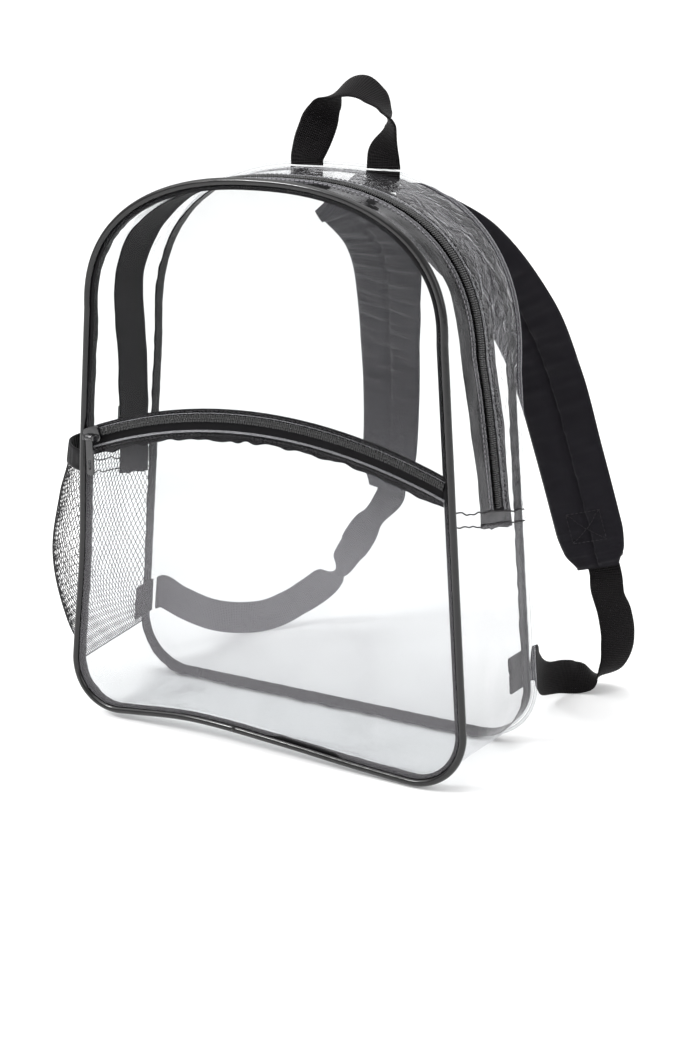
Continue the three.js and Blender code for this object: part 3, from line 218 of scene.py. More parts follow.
def outline_point(shape, turn):
    """Outline of a panel at a share of its length: a straight bottom, a quarter circle, a straight side and a
    quarter of a superellipse, mirrored for the left half."""
    turn = np.asarray(turn, float) % 1.0
    side = np.where(turn <= TOP, 1.0, -1.0)
    u = np.where(turn <= TOP, turn, 1 - turn)
    flat = shape["half"] - shape["corner"]
    round_angle = np.clip((u - BOTTOM_END) / (CORNER_END - BOTTOM_END), 0, 1) * math.pi / 2
    along = np.clip((u - CORNER_END) / (SIDE_END - CORNER_END), 0, 1)
    arch_angle = np.clip((u - SIDE_END) / (TOP - SIDE_END), 0, 1) * math.pi / 2
    power = 2 / shape["power"]
    low = shape["bottom"] + shape["corner"]
    x = np.select(
        [u <= BOTTOM_END, u <= CORNER_END, u <= SIDE_END],
        [flat * u / BOTTOM_END, flat + shape["corner"] * np.sin(round_angle),
        lerp(shape["half"], shape["shoulder"], along)],
        shape["shoulder"] * np.maximum(np.cos(arch_angle), 0) ** power,
    )
    z = np.select(
        [u <= BOTTOM_END, u <= CORNER_END, u <= SIDE_END],
        [shape["bottom"] + 0 * u, shape["bottom"] + shape["corner"] * (1 - np.cos(round_angle)),
        lerp(low, shape["arch"], along)],
        shape["arch"] + (shape["top"] - shape["arch"]) * np.sin(arch_angle) ** power,
    )
    return side * x, z


def band_section(turn, depth):
    """Point and outward normal of the side band: the two outlines mixed by depth, and the normal from the
    difference of the points just before and after."""
    def between(at):
        front, back = outline_point(FRONT, at), outline_point(BACK, at)
        return lerp(front[0], back[0], depth), lerp(front[1], back[1], depth)
    step = 1e-4
    before, after = between(turn - step), between(turn + step)
    ax, az = after[0] - before[0], after[1] - before[1]
    length = np.hypot(ax, az)
    return between(turn), (az / length, -ax / length)


def front_plane(z):
    return -BAG_DEPTH / 2 + FRONT_LEAN * z / BAG_HEIGHT


def back_plane(z):
    return BAG_DEPTH / 2 + BACK_LEAN * z / BAG_HEIGHT


def soften(x, y, z):
    """Lifts the front bottom edge by the bow's curve and draws the left front edge in by a bell curve of
    height. Both fade towards the back."""
    depth = y - front_plane(z)
    across = x / FRONT["half"]
    near_front = 1 - smooth(depth / BOW_REACH_BACK)
    rise = BOW_RISE * curve_value(BOW, across) * near_front * (1 - smooth(z / BOW_REACH_UP))
    bell = np.exp(-((z - PINCH_HEIGHT) / PINCH_REACH) ** 2)
    draw = PINCH * bell * np.maximum(-across, 0) ** 4 * near_front
    return np.stack(np.broadcast_arrays(x + draw, y, z + rise), -1)


def band_point(turn, depth, out):
    """Point of the side band, moved out along its normal. Near the floor the band swells down to it."""
    turn, depth, out = np.broadcast_arrays(*(np.asarray(v, float) for v in (turn, depth, out)))
    (px, pz), (nx, nz) = band_section(turn, depth)
    t = turn % 1.0
    u = np.where(t <= TOP, t, 1 - t)
    low = 1 - smooth((u - BOTTOM_END) / (CORNER_END - BOTTOM_END))
    lift = lerp(FRONT["bottom"], BACK["bottom"], depth)
    z = pz + nz * out - lift * low * line_value(BASE_SWELL, np.clip(depth, 0, 1))
    y = lerp(front_plane(z) + SEAM_INSET, back_plane(z) - SEAM_INSET, depth)
    return soften(px + nx * out, y, z)


def turn_at_height(height, depth):
    low = lerp(FRONT["bottom"] + FRONT["corner"], BACK["bottom"] + BACK["corner"], depth)
    high = lerp(FRONT["arch"], BACK["arch"], depth)
    return CORNER_END + (height - low) / (high - low) * (SIDE_END - CORNER_END)


def joint_turn(depth):
    return turn_at_height(lerp(JOINT_FRONT_HEIGHT, JOINT_BACK_HEIGHT, depth), depth)


def share(length):
    """A length across the band as a share of the band."""
    return length / SPAN


def zip_centre(turn):
    t = np.asarray(turn, float) % 1.0
    u = np.where(t <= TOP, t, 1 - t)
    joint = joint_turn(0.5)
    return curve_value(ZIP_PATH, (u - joint) / (TOP - joint))


def crown(x, z, shape):
    across = np.minimum(np.abs(x) / shape["shoulder"], 1)
    up = np.clip((z - shape["bottom"]) / (shape["top"] - shape["bottom"]), 0, 1)
    return PANEL_CROWN * (1 - across * across) * 4 * up * (1 - up)


def front_surface(x, z):
    return front_plane(z) - crown(x, z, FRONT)


def back_surface(x, z):
    return back_plane(z) + crown(x, z, BACK)


TURN_PER_MM = (SIDE_END - CORNER_END) / (FRONT["arch"] - CORNER_RADIUS)
POCKET_ZIP_HALF = float(outline_point(FRONT, turn_at_height(POCKET_ZIP_END_HEIGHT, 0))[0])


def pocket_zip(x):
    return POCKET_ZIP_END_HEIGHT + POCKET_ZIP_RISE * (1 - (x / POCKET_ZIP_HALF) ** 2)


def ripple(a, b, rows, seed):
    """Sum of slow sine waves over two parameters, from -1 to 1: rows of waves (a count, b count, weight)."""
    phases = np.random.default_rng(seed).uniform(0, 2 * math.pi, len(rows))
    total = sum(w * np.sin(p * a + q * b + phase) for (p, q, w), phase in zip(rows, phases))
    return total / sum(w for _, _, w in rows)


def noise_line(count, seed, smoothing):
    """Random line of values from -1 to 1, averaged over a window so that it varies slowly."""
    values = np.random.default_rng(seed).uniform(-1, 1, count + smoothing)
    window = np.hanning(smoothing + 2)[1:-1]
    line = np.convolve(values, window / window.sum(), "valid")[:count]
    return line / np.abs(line).max()


# ---------------------------------------------------------------- meshes


def make_piece(name, vertices, faces, material, slot, uv=None, body=BAG_BODY, replaces=(), flat=False):
    """Puts vertices in millimetres and faces, each an array of three or four corners, into a mesh in metres.
    uv gives one pair for each face corner, in millimetres along and across the piece."""
    mesh = bpy.data.meshes.new(name)
    lists = [list(map(tuple, f)) for f in (faces if isinstance(faces, list) else [faces])]
    mesh.from_pydata((np.asarray(vertices) * MM).tolist(), [], [f for part in lists for f in part])
    if uv is not None:
        layer = mesh.uv_layers.new(name="UVMap")
        layer.data.foreach_set("uv", np.asarray(uv, np.float32).ravel())
    mesh.polygons.foreach_set("use_smooth", [not flat] * len(mesh.polygons))
    mesh.materials.append(material)
    mesh.update()
    piece = bpy.data.objects.new(name, mesh)
    bpy.context.scene.collection.objects.link(piece)
    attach(piece, body)
    if replaces:
        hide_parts(*replaces)
    return piece


def grid_faces(rows, columns, wrap_rows=False, wrap_columns=False):
    """Quads of a grid of rows x columns points, as corner indices and (row, column) pairs for their UVs."""
    i = np.arange(rows if wrap_rows else rows - 1)[:, None]
    j = np.arange(columns if wrap_columns else columns - 1)[None, :]
    i, j = (a.ravel() for a in np.broadcast_arrays(i, j))
    corner_rows = np.stack([i, i + 1, i + 1, i], -1)
    corner_columns = np.stack([j, j, j + 1, j + 1], -1)
    faces = (corner_rows % rows) * columns + corner_columns % columns
    return faces, corner_rows, corner_columns


def lengths(points, axis, wrap):
    """Mean length along one direction of a grid, summed from its start."""
    if wrap:
        points = np.concatenate([points, np.take(points, [0], axis)], axis)
    steps = np.linalg.norm(np.diff(points, axis=axis), axis=-1).mean(1 - axis)
    return np.concatenate([[0], np.cumsum(steps)])


def grid_piece(name, points, material, slot, wrap_rows=False, wrap_columns=False, caps=False, flip=False,
        **more):
    """Surface through a grid of points, with UVs in millimetres along its rows and columns. caps closes both
    ends of a tube with a fan."""
    rows, columns = points.shape[:2]
    faces, corner_rows, corner_columns = grid_faces(rows, columns, wrap_rows, wrap_columns)
    u, v = lengths(points, 0, wrap_rows), lengths(points, 1, wrap_columns)
    uv = np.stack([u[corner_rows], v[corner_columns]], -1)
    vertices = points.reshape(-1, 3)
    if flip:
        faces, uv = faces[:, ::-1], uv[:, ::-1]
    parts, uvs = [faces], [uv.reshape(-1, 2)]
    if caps:
        ring = np.arange(columns)
        for row, turned in ((0, not flip), (rows - 1, flip)):
            centre = len(vertices)
            vertices = np.concatenate([vertices, points[row].mean(0)[None]])
            fan = np.stack([row * columns + ring, row * columns + (ring + 1) % columns, 0 * ring + centre],
                -1)
            parts.append(fan[:, ::-1] if turned else fan)
            uvs.append(np.zeros((3 * columns, 2)))
    return make_piece(name, vertices, parts, material, slot, np.concatenate(uvs), **more)


def frames_along(path, reference, closed=False):
    """Tangent, side and up directions at each point of a path: the tangent from its neighbours, up is the
    reference made square to it, and side is square to both."""
    if closed:
        tangent = np.roll(path, -1, 0) - np.roll(path, 1, 0)
    else:
        tangent = np.gradient(path, axis=0)
    tangent /= np.linalg.norm(tangent, axis=1, keepdims=True)
    up = np.broadcast_to(reference, path.shape) - (tangent * reference).sum(1, keepdims=True) * tangent
    up = up / np.linalg.norm(up, axis=1, keepdims=True)
    return tangent, np.cross(tangent, up), up


def tube_points(path, radius, reference, sides=12, closed=False):
    """Circle of a radius carried along a path."""
    _, side, up = frames_along(path, reference, closed)
    angle = np.arange(sides) / sides * 2 * math.pi
    radius = np.broadcast_to(np.asarray(radius, float), len(path))[:, None, None]
    ring = np.cos(angle)[None, :, None] * side[:, None] + np.sin(angle)[None, :, None] * up[:, None]
    return path[:, None] + radius * ring


def repeated(name, template, faces, origins, axes, material, slot, **more):
    """Copies of a small closed shape: each template point is set on the three axes of every place."""
    copies, count = len(origins), len(template)
    vertices = np.einsum("vi,kij->kvj", template, axes) + origins[:, None]
    all_faces = (faces[None] + (np.arange(copies) * count)[:, None, None]).reshape(-1, faces.shape[1])
    return make_piece(name, vertices.reshape(-1, 3), all_faces, material, slot, **more)


def pebble(length, width, height, rings=4, sides=6):
    """Ellipsoid as a small closed shape: rings of a circle whose radius follows a half sine, joined by
    triangles to a point at each end."""
    s = np.arange(1, rings) / rings * math.pi
    angle = np.arange(sides) / sides * 2 * math.pi
    body = np.stack(np.broadcast_arrays(
        -np.cos(s)[:, None] * length / 2,
        np.sin(s)[:, None] ** 0.6 * np.cos(angle) * width / 2,
        np.sin(s)[:, None] ** 0.6 * np.sin(angle) * height / 2,
    ), -1).reshape(-1, 3)
    points = np.concatenate([body, [[-length / 2, 0, 0], [length / 2, 0, 0]]])
    quads, _, _ = grid_faces(rings - 1, sides, wrap_columns=True)
    quads = quads[:, ::-1]
    triangles = np.concatenate([quads[:, [0, 1, 2]], quads[:, [0, 2, 3]]])
    k = np.arange(sides)
    first, last = len(body), len(body) + 1
    start = (rings - 2) * sides
    near = np.stack([0 * k + first, k, (k + 1) % sides], -1)[:, ::-1]
    far = np.stack([0 * k + last, start + (k + 1) % sides, start + k], -1)[:, ::-1]
    return points, np.concatenate([triangles, near, far])


def resample(path, pitch):
    """Points at an even pitch along a path, by straight lines between its points."""
    steps = np.linalg.norm(np.diff(path, axis=0), axis=1)
    along = np.concatenate([[0], np.cumsum(steps)])
    at = np.arange(pitch / 2, along[-1], pitch)
    return np.stack([np.interp(at, along, path[:, k]) for k in range(3)], -1)


def stitch_row(name, path, outward, sizes, material, replaces=()):
    """Row of thread stitches: short ellipsoids end to end along a path, lying on the surface."""
    pitch = sizes.stitch_pitch / MM
    places = resample(path, pitch)
    tangent, side, up = frames_along(places, outward)
    axes = np.stack([tangent, side, up], 1)
    template, faces = pebble(pitch * 0.8, sizes.thread_diameter / MM, sizes.thread_diameter / MM)
    return repeated(name, template, faces, places, axes, material, "black_webbing", replaces=replaces)


def centripetal_curve(points, count):
    """Curve through points: on each span a cubic with end slopes weighted by the square root of the spans'
    lengths, the spans sharing the parameter evenly."""
    points = np.array(points, float)
    first, last = 2 * points[0] - points[1], 2 * points[-1] - points[-2]
    p = np.concatenate([[first], points, [last]])
    spans = len(points) - 1
    place = np.linspace(0, 1, count) * spans
    k = np.minimum(place.astype(int), spans - 1)
    w = (place - k)[:, None]
    a, b, c, d = p[k], p[k + 1], p[k + 2], p[k + 3]
    root = [np.sqrt(np.linalg.norm(n - m, axis=1))[:, None] for m, n in ((a, b), (b, c), (c, d))]
    start = ((b - a) / root[0] - (c - a) / (root[0] + root[1]) + (c - b) / root[1]) * root[1]
    end = ((c - b) / root[1] - (d - b) / (root[1] + root[2]) + (d - c) / root[2]) * root[1]
    cubic = 2 * b - 2 * c + start + end
    square = -3 * b + 3 * c - 2 * start - end
    return b + start * w + square * w ** 2 + cubic * w ** 3, k, w


def ribbon_frames(rows, steps):
    """Centres, width directions, normals and widths of a flat band along rows of (centre, across, width)."""
    centres, across, widths = (np.array(v, float) for v in zip(*rows))
    path, k, w = centripetal_curve(centres, steps + 1)
    s = smooth(w)
    tangent = np.gradient(path, axis=0)
    tangent /= np.linalg.norm(tangent, axis=1, keepdims=True)
    side = lerp(across[k], across[k + 1], s)
    side -= (side * tangent).sum(1, keepdims=True) * tangent
    side /= np.linalg.norm(side, axis=1, keepdims=True)
    return path, side, np.cross(tangent, side), lerp(widths[k], widths[k + 1], s[:, 0])


def webbing_section(thickness, points=10):
    """Section of woven webbing: a flat band with half-round edges, as shares of the width and millimetres."""
    across = np.linspace(-1, 1, points)
    flat = np.sign(across) * (1 - (1 - np.abs(across)) ** 1.6)
    half = thickness / 2 * (1 - np.abs(flat) ** 14) ** 0.5
    top = np.stack([flat / 2, half], -1)
    return np.concatenate([top, top[-2:0:-1] * [1, -1]])


def ribbon_points(rows, steps, section):
    path, side, normal, widths = ribbon_frames(rows, steps)
    return (
        path[:, None] + side[:, None] * widths[:, None, None] * section[None, :, :1]
        + normal[:, None] * section[None, :, 1:]
    )


# ---------------------------------------------------------------- settings


def length_property(name, description, default):
    return FloatProperty(name=name, description=description, default=default, subtype="DISTANCE",
        unit="LENGTH", min=0)


def colour_property(name, description, code):
    return FloatVectorProperty(
        name=name, description=description, default=srgb(code)[:3], size=3, min=0, max=1, subtype="COLOR"
    )


class BackpackSizes(bpy.types.PropertyGroup):
    """Sizes of the details that are drawn on the solids."""

    tooth_pitch: length_property("Tooth pitch", "Distance between two teeth on one side of a zipper", 0.0015)
    stitch_pitch: length_property("Stitch pitch", "Length of one stitch and its gap", 0.0034)
    thread_diameter: length_property("Thread", "Diameter of the sewing thread", 0.0006)
    net_cell: length_property("Net cell", "Width of one mesh of the net", 0.0036)
    net_thread: length_property("Net thread", "Thickness of the net's knitted thread", 0.00048)
    rib_pitch: length_property("Rib pitch", "Distance between two ribs of the webbing", 0.0016)
    weave_pitch: length_property("Weave pitch",
        "Thread spacing of the pads' cloth, drawn coarse enough to show", 0.0009)
    vinyl_wave: length_property("Vinyl wave", "Height of the soft waves in the clear sheets", 0.0009)
    pad_wrinkle: length_property("Pad wrinkle", "Height of the pads' wrinkles", 0.0013)
    seam_groove: length_property("Seam groove", "Depth of the seam along the middle of a pad", 0.003)
    binding_ragged: length_property("Ragged edge", "How far the cut edge of a binding strays", 0.0012)
    tape_wave: length_property("Tape wave", "How far the lower edge of the pocket's tape strays", 0.0016)


class BackpackColours(bpy.types.PropertyGroup):
    """Colours of the bag's materials."""

    vinyl: colour_property("Clear vinyl", "Tint of light that passes a sheet", "#f7f8f8")
    vinyl_haze: colour_property("Vinyl haze", "Colour of the faint haze in a sheet", "#d9d6dc")
    piping: colour_property("Piping", "Black vinyl piping", "#060506")
    tape: colour_property("Tape", "Zipper and binding tape", "#0c0b0d")
    coil: colour_property("Coil", "Nylon zipper coils", "#0a0a0b")
    webbing: colour_property("Webbing", "Handle and strap webbing", "#0d0b0c")
    pad: colour_property("Pads", "Woven cloth of the shoulder pads", "#141217")
    net: colour_property("Net", "Knitted net", "#141316")
    thread: colour_property("Thread", "Sewing thread", "#1b191c")
    # Pale grey for the front row of zipper stitches, a painted highlight: the rear row of the same stitches keeps
    # the dark thread colour.
    pale_thread: colour_property("Pale thread", "Stitches that catch the light on the zipper tape",
        "#8d8a90")
    enamel: colour_property("Enamel", "Enamelled zipper pulls", "#0e0e10")
    plastic: colour_property("Plastic", "Strap adjusters", "#101011")
    floor: colour_property("Floor", "Pale studio floor", "#f8f8f8")


class StageSettings(bpy.types.PropertyGroup):
    """Camera and light."""

    camera_place: FloatVectorProperty(
        name="Camera", description="Place of the camera", default=(0.58695, -0.99972, 0.50467),
        subtype="XYZ", unit="LENGTH"
    )
    camera_target: FloatVectorProperty(
        name="Target", description="Point that the camera looks at", default=(0.05553, -0.02085, 0.16270),
        subtype="XYZ", unit="LENGTH",
    )
    lens: FloatProperty(name="Lens", description="Focal length in millimetres on a 36 mm frame",
        default=60.74, min=1)
    sky: FloatProperty(name="Sky",
        description="Strength of the white backdrop; the side towards the camera is dimmer", default=1.12,
        min=0)


# ---------------------------------------------------------------- materials


def add(tree, kind, inputs=None, **settings):
    """Adds a node, sets its settings, and gives each named or numbered input a value or another socket."""
    node = tree.nodes.new(kind)
    for key, value in settings.items():
        setattr(node, key, value)
    for key, value in (inputs or {}).items():
        socket = node.inputs[key]
        if isinstance(value, bpy.types.NodeSocket):
            tree.links.new(value, socket)
        else:
            socket.default_value = value
    return node


def new_material(name):
    material = bpy.data.materials.new(name)
    material.use_nodes = True
    material.node_tree.nodes.clear()
    return material, material.node_tree


def finish_material(tree, shader):
    add(tree, "ShaderNodeOutputMaterial", {"Surface": shader})


def wave_of(tree, value, period):
    """Sine of a coordinate with a period in the coordinate's own unit."""
    scaled = add(tree, "ShaderNodeMath", {0: value, 1: 2 * math.pi / period}, operation="MULTIPLY")
    return add(tree, "ShaderNodeMath", {0: scaled.outputs[0]}, operation="SINE").outputs[0]


def maths(tree, operation, first, second=0.0, clamp=False):
    return add(tree, "ShaderNodeMath", {0: first, 1: second}, operation=operation,
        use_clamp=clamp).outputs[0]


def colour4(colour):
    return (*colour, 1.0)


def clear_vinyl(name, colours, tint_share, haze, low_haze, crumple, relief=0.35):
    """Soft PVC sheet, calendered and clear. Light passes it nearly untinted, its reflection grows towards
    grazing angles by the fourth power of the facing, and a faint haze and slow waves show on dark things. The
    light it lets through is dimmed in streaks along the waves, a painted shade for darker parts of the studio
    reflected in them. The haze grows towards the floor, which lights the sheets from below."""
    material, tree = new_material(name)
    where = add(tree, "ShaderNodeTexCoord").outputs["Object"]
    waves = add(tree, "ShaderNodeTexNoise",
        {"Vector": where, "Scale": 22.0, "Detail": 2.0, "Distortion": 0.6})
    creases = add(tree, "ShaderNodeTexNoise",
        {"Vector": where, "Scale": 75.0, "Detail": 3.0, "Distortion": 1.5})
    height = add(tree, "ShaderNodeMix", {0: crumple, 2: waves.outputs[0], 3: creases.outputs[0]})
    bump = add(tree, "ShaderNodeBump", {"Strength": relief, "Distance": 0.004, "Height": height.outputs[0]})
    facing = add(tree, "ShaderNodeLayerWeight", {"Blend": 0.5, "Normal": bump.outputs[0]}).outputs["Facing"]
    grazing = maths(tree, "POWER", facing, 4.0)
    gloss = maths(tree, "MULTIPLY_ADD", grazing, 0.75)
    gloss.node.inputs[2].default_value = 0.006
    # The light let through is dimmed in streaks that follow the slow waves: painted shade standing in for darker
    # parts of the studio reflected in the waves.
    cloud = add(tree, "ShaderNodeMapRange", {0: waves.outputs[0], 1: 0.35, 2: 0.75, 3: 0.0, 4: 1.0})
    unshaded_tint, dim = (tuple(k * tint_share * c for c in colours.vinyl) for k in (1, 0.965))
    tint = add(tree, "ShaderNodeMix", {0: cloud.outputs[0], 6: colour4(unshaded_tint), 7: colour4(dim)},
        data_type="RGBA")
    clear = add(tree, "ShaderNodeBsdfTransparent", {"Color": tint.outputs[2]})
    veil = add(tree, "ShaderNodeBsdfDiffuse", {"Color": colour4(colours.vinyl_haze)})
    height_mm = add(tree, "ShaderNodeSeparateXYZ", {0: where}).outputs[2]
    amount = add(tree, "ShaderNodeMapRange", {0: height_mm, 1: 0.13, 2: 0.225, 3: low_haze, 4: haze},
        interpolation_type="SMOOTHSTEP")
    body = add(tree, "ShaderNodeMixShader", {0: amount.outputs[0], 1: clear.outputs[0], 2: veil.outputs[0]})
    mirror = add(tree, "ShaderNodeBsdfGlossy",
        {"Color": (0.95, 0.95, 0.97, 1), "Roughness": 0.07, "Normal": bump.outputs[0]})
    mixed = add(tree, "ShaderNodeMixShader", {0: gloss, 1: body.outputs[0], 2: mirror.outputs[0]})
    finish_material(tree, mixed.outputs[0])
    return material


def vinyl_edge(colours):
    """Cut or folded edge of the same sheet. It gathers light, so it is a brighter and denser line."""
    material, tree = new_material("folded_vinyl_edge")
    facing = add(tree, "ShaderNodeLayerWeight", {"Blend": 0.5}).outputs["Facing"]
    dense = add(tree, "ShaderNodeMapRange", {0: facing, 1: 0.0, 2: 1.0, 3: 0.06, 4: 0.5}).outputs[0]
    clear = add(tree, "ShaderNodeBsdfTransparent", {"Color": colour4(colours.vinyl)})
    pale = add(tree, "ShaderNodeBsdfPrincipled",
        {"Base Color": srgb("#d4d3d8"), "Roughness": 0.15, "IOR": 1.53})
    mixed = add(tree, "ShaderNodeMixShader", {0: dense, 1: clear.outputs[0], 2: pale.outputs[0]})
    finish_material(tree, mixed.outputs[0])
    return material


def piping_vinyl(colours):
    """Black PVC extruded over a cord: glossy, with slight kinks and a fine pebble."""
    material, tree = new_material("extruded_black_vinyl")
    where = add(tree, "ShaderNodeTexCoord").outputs["Object"]
    kinks = add(tree, "ShaderNodeTexNoise", {"Vector": where, "Scale": 120.0, "Detail": 2.0})
    bump = add(tree, "ShaderNodeBump", {"Strength": 0.25, "Distance": 0.0008, "Height": kinks.outputs[0]})
    rough = add(tree, "ShaderNodeMapRange", {0: kinks.outputs[0], 1: 0.3, 2: 0.7, 3: 0.14, 4: 0.26})
    shader = add(tree, "ShaderNodeBsdfPrincipled", {
        "Base Color": colour4(colours.piping), "Roughness": rough.outputs[0], "Specular IOR Level": 0.5,
        "Normal": bump.outputs[0],
    })
    finish_material(tree, shader.outputs[0])
    return material


def woven(name, colour, along_pitch, across_pitch, depth, roughness, sheen, fleck_and_shade_spread=0.35):
    """Woven cloth on UVs in millimetres: the product of two sine waves makes over and under threads, a slow
    noise varies their colour, and the colour is darker between the threads and lighter on the raised ones, a
    painted shade of the weave."""
    material, tree = new_material(name)
    coordinates = add(tree, "ShaderNodeTexCoord")
    parts = add(tree, "ShaderNodeSeparateXYZ", {0: coordinates.outputs["UV"]})
    along = wave_of(tree, parts.outputs[0], along_pitch)
    across = wave_of(tree, parts.outputs[1], across_pitch)
    weave = maths(tree, "MULTIPLY", along, across)
    height = maths(tree, "MULTIPLY_ADD", weave, 0.5)
    height.node.inputs[2].default_value = 0.5
    bump = add(tree, "ShaderNodeBump", {"Strength": 0.8, "Distance": depth * MM, "Height": height})
    cloud = add(tree, "ShaderNodeTexNoise",
        {"Vector": coordinates.outputs["Object"], "Scale": 45.0, "Detail": 4.0})
    # Colour follows the noise times the thread height: random flecks, and painted shade that darkens the gaps
    # between threads.
    fleck_and_weave_shade = maths(tree, "MULTIPLY", cloud.outputs[0], height)
    low, high = (tuple(c * k for c in colour) for k in (1 - fleck_and_shade_spread, 1 + 2.5 * fleck_and_shade_spread))
    tone = add(tree, "ShaderNodeMix", {0: fleck_and_weave_shade, 6: colour4(low), 7: colour4(high)}, data_type="RGBA")
    shader = add(tree, "ShaderNodeBsdfPrincipled", {
        "Base Color": tone.outputs[2], "Roughness": roughness, "Specular IOR Level": 0.12,
        "Sheen Weight": sheen, "Sheen Roughness": 0.4, "Normal": bump.outputs[0],
    })
    finish_material(tree, shader.outputs[0])
    return material


def ribbed_webbing(colours, sizes):
    """Polypropylene webbing from a narrow loom: a rib across its width for each weft thread, each broken into
    the warp threads that cross it."""
    material, tree = new_material("ribbed_polypropylene_webbing")
    coordinates = add(tree, "ShaderNodeTexCoord")
    parts = add(tree, "ShaderNodeSeparateXYZ", {0: coordinates.outputs["UV"]})
    rib = wave_of(tree, parts.outputs[0], sizes.rib_pitch / MM)
    warp = wave_of(tree, parts.outputs[1], 1.3)
    threads = maths(tree, "MULTIPLY", warp, 0.35)
    height = maths(tree, "MULTIPLY_ADD", rib, 0.5)
    tree.links.new(threads, height.node.inputs[2])
    bump = add(tree, "ShaderNodeBump", {"Strength": 0.9, "Distance": 0.0005, "Height": height})
    # The colour is lighter on the rib tops and darker in the grooves, taken from the same height as the bump:
    # painted shade of the ribs.
    lift = add(tree, "ShaderNodeMapRange", {0: height, 1: -0.6, 2: 0.8, 3: 0.0, 4: 1.0})
    low, high = (tuple(c * k for c in colours.webbing) for k in (0.35, 2.4))
    tone = add(tree, "ShaderNodeMix", {0: lift.outputs[0], 6: colour4(low), 7: colour4(high)},
        data_type="RGBA")
    shader = add(tree, "ShaderNodeBsdfPrincipled", {
        "Base Color": tone.outputs[2], "Roughness": 0.62, "Specular IOR Level": 0.12,
        "Normal": bump.outputs[0],
    })
    finish_material(tree, shader.outputs[0])
    return material


def plain_gloss(name, colour, roughness, noise_scale, specular=0.5, coat=0.0):
    """Moulded, drawn or enamelled black finish: an even colour whose gloss is broken by a fine noise."""
    material, tree = new_material(name)
    where = add(tree, "ShaderNodeTexCoord").outputs["Object"]
    grain = add(tree, "ShaderNodeTexNoise", {"Vector": where, "Scale": noise_scale, "Detail": 3.0})
    bump = add(tree, "ShaderNodeBump", {"Strength": 0.15, "Distance": 0.0003, "Height": grain.outputs[0]})
    rough = add(tree, "ShaderNodeMapRange",
        {0: grain.outputs[0], 1: 0.3, 2: 0.7, 3: roughness * 0.8, 4: roughness * 1.3})
    shader = add(tree, "ShaderNodeBsdfPrincipled", {
        "Base Color": colour4(colour), "Roughness": rough.outputs[0], "Specular IOR Level": specular,
        "Coat Weight": coat, "Coat Roughness": 0.1, "Normal": bump.outputs[0],
    })
    finish_material(tree, shader.outputs[0])
    return material


def studio_floor(colours):
    """Painted paper sweep: matt, pale and even, with a trace of mottle."""
    material, tree = new_material("matt_studio_paper")
    where = add(tree, "ShaderNodeTexCoord").outputs["Object"]
    mottle = add(tree, "ShaderNodeTexNoise", {"Vector": where, "Scale": 3.0, "Detail": 2.0})
    dim = tuple(0.985 * c for c in colours.floor)
    tone = add(tree, "ShaderNodeMix", {0: mottle.outputs[0], 6: colour4(colours.floor), 7: colour4(dim)},
        data_type="RGBA")
    shader = add(tree, "ShaderNodeBsdfPrincipled",
        {"Base Color": tone.outputs[2], "Roughness": 0.9, "Specular IOR Level": 0.1})
    finish_material(tree, shader.outputs[0])
    return material


MATERIALS = {}


def material_of(name):
    return MATERIALS[name]


# ---------------------------------------------------------------- operators


class BACKPACK_OT_materials(bpy.types.Operator):
    """Makes the bag's materials from the colours in the panel"""

    bl_idname = "backpack.materials"
    bl_label = "Materials"

    def execute(self, context):
        colours, sizes = context.scene.backpack_colours, context.scene.backpack_sizes
        MATERIALS.update(
            vinyl=clear_vinyl("calendered_clear_vinyl", colours, 0.985, 0.002, 0.075, 0.25),
            # The rear sheet stands in its own back light and against the pads, so it veils what is behind it
            rear_vinyl=clear_vinyl("hazy_clear_vinyl", colours, 0.93, 0.07, 0.17, 0.35),
            crumpled_vinyl=clear_vinyl("crumpled_clear_vinyl", colours, 0.97, 0.03, 0.03, 0.75, 1.0),
            vinyl_edge=vinyl_edge(colours),
            piping=piping_vinyl(colours),
            # Zipper tape is a fine twill, and the cut binding a coarser one: threads 0.6 to 0.8 mm apart
            tape=woven("woven_polyester_tape", tuple(colours.tape), 0.9, 0.7, 0.04, 0.7, 0.0),
            binding=plain_gloss("coated_binding_tape", tuple(colours.tape), 0.4, 260.0, 0.12),
            coil=plain_gloss("moulded_nylon_coil", tuple(colours.coil), 0.25, 500.0, 0.9),
            webbing=ribbed_webbing(colours, sizes),
            # Oxford cloth over foam: plain weave with a slight purple cast in its sheen
            pad=woven("woven_oxford_cloth", tuple(colours.pad), sizes.weave_pitch / MM,
            sizes.weave_pitch / MM, 0.12, 0.75, 0.15, 0.2),
            net=plain_gloss("knitted_polyester_net", tuple(colours.net), 0.6, 700.0),
            elastic=woven("ribbed_elastic_band", tuple(colours.tape), 1.1, 30.0, 0.3, 0.8, 0.1),
            thread=plain_gloss("polyester_thread", tuple(colours.thread), 0.5, 900.0, 0.3),
            # Pale grey thread: painted highlight for the lit row of zipper stitches.
            pale_thread=plain_gloss("polyester_thread_painted_highlight", tuple(colours.pale_thread), 0.35, 900.0),
            enamel=plain_gloss("enamelled_zinc", tuple(colours.enamel), 0.22, 300.0, coat=0.6),
            plastic=plain_gloss("moulded_acetal", tuple(colours.plastic), 0.3, 300.0),
            floor=studio_floor(colours),
        )
        return {"FINISHED"}


def front_rim(lower, edge, inset, stations):
    """Rim of a front sheet below or above the pocket zipper: along the panel's outline up to the zipper line,
    then back along the parabola of that line."""
    end = float(turn_at_height(POCKET_ZIP_END_HEIGHT + edge, 0))
    turns = np.linspace(-end, end, stations) if lower else np.linspace(end, 1 - end, stations)
    (x, z), (nx, nz) = band_section(turns, 0.0)
    rim = np.stack([x - nx * inset, z - nz * inset], -1)
    across = np.linspace(rim[-1, 0], rim[0, 0], stations // 2)[1:-1]
    arch = np.stack([across, pocket_zip(across) + edge], -1)
    return np.concatenate([rim, arch])


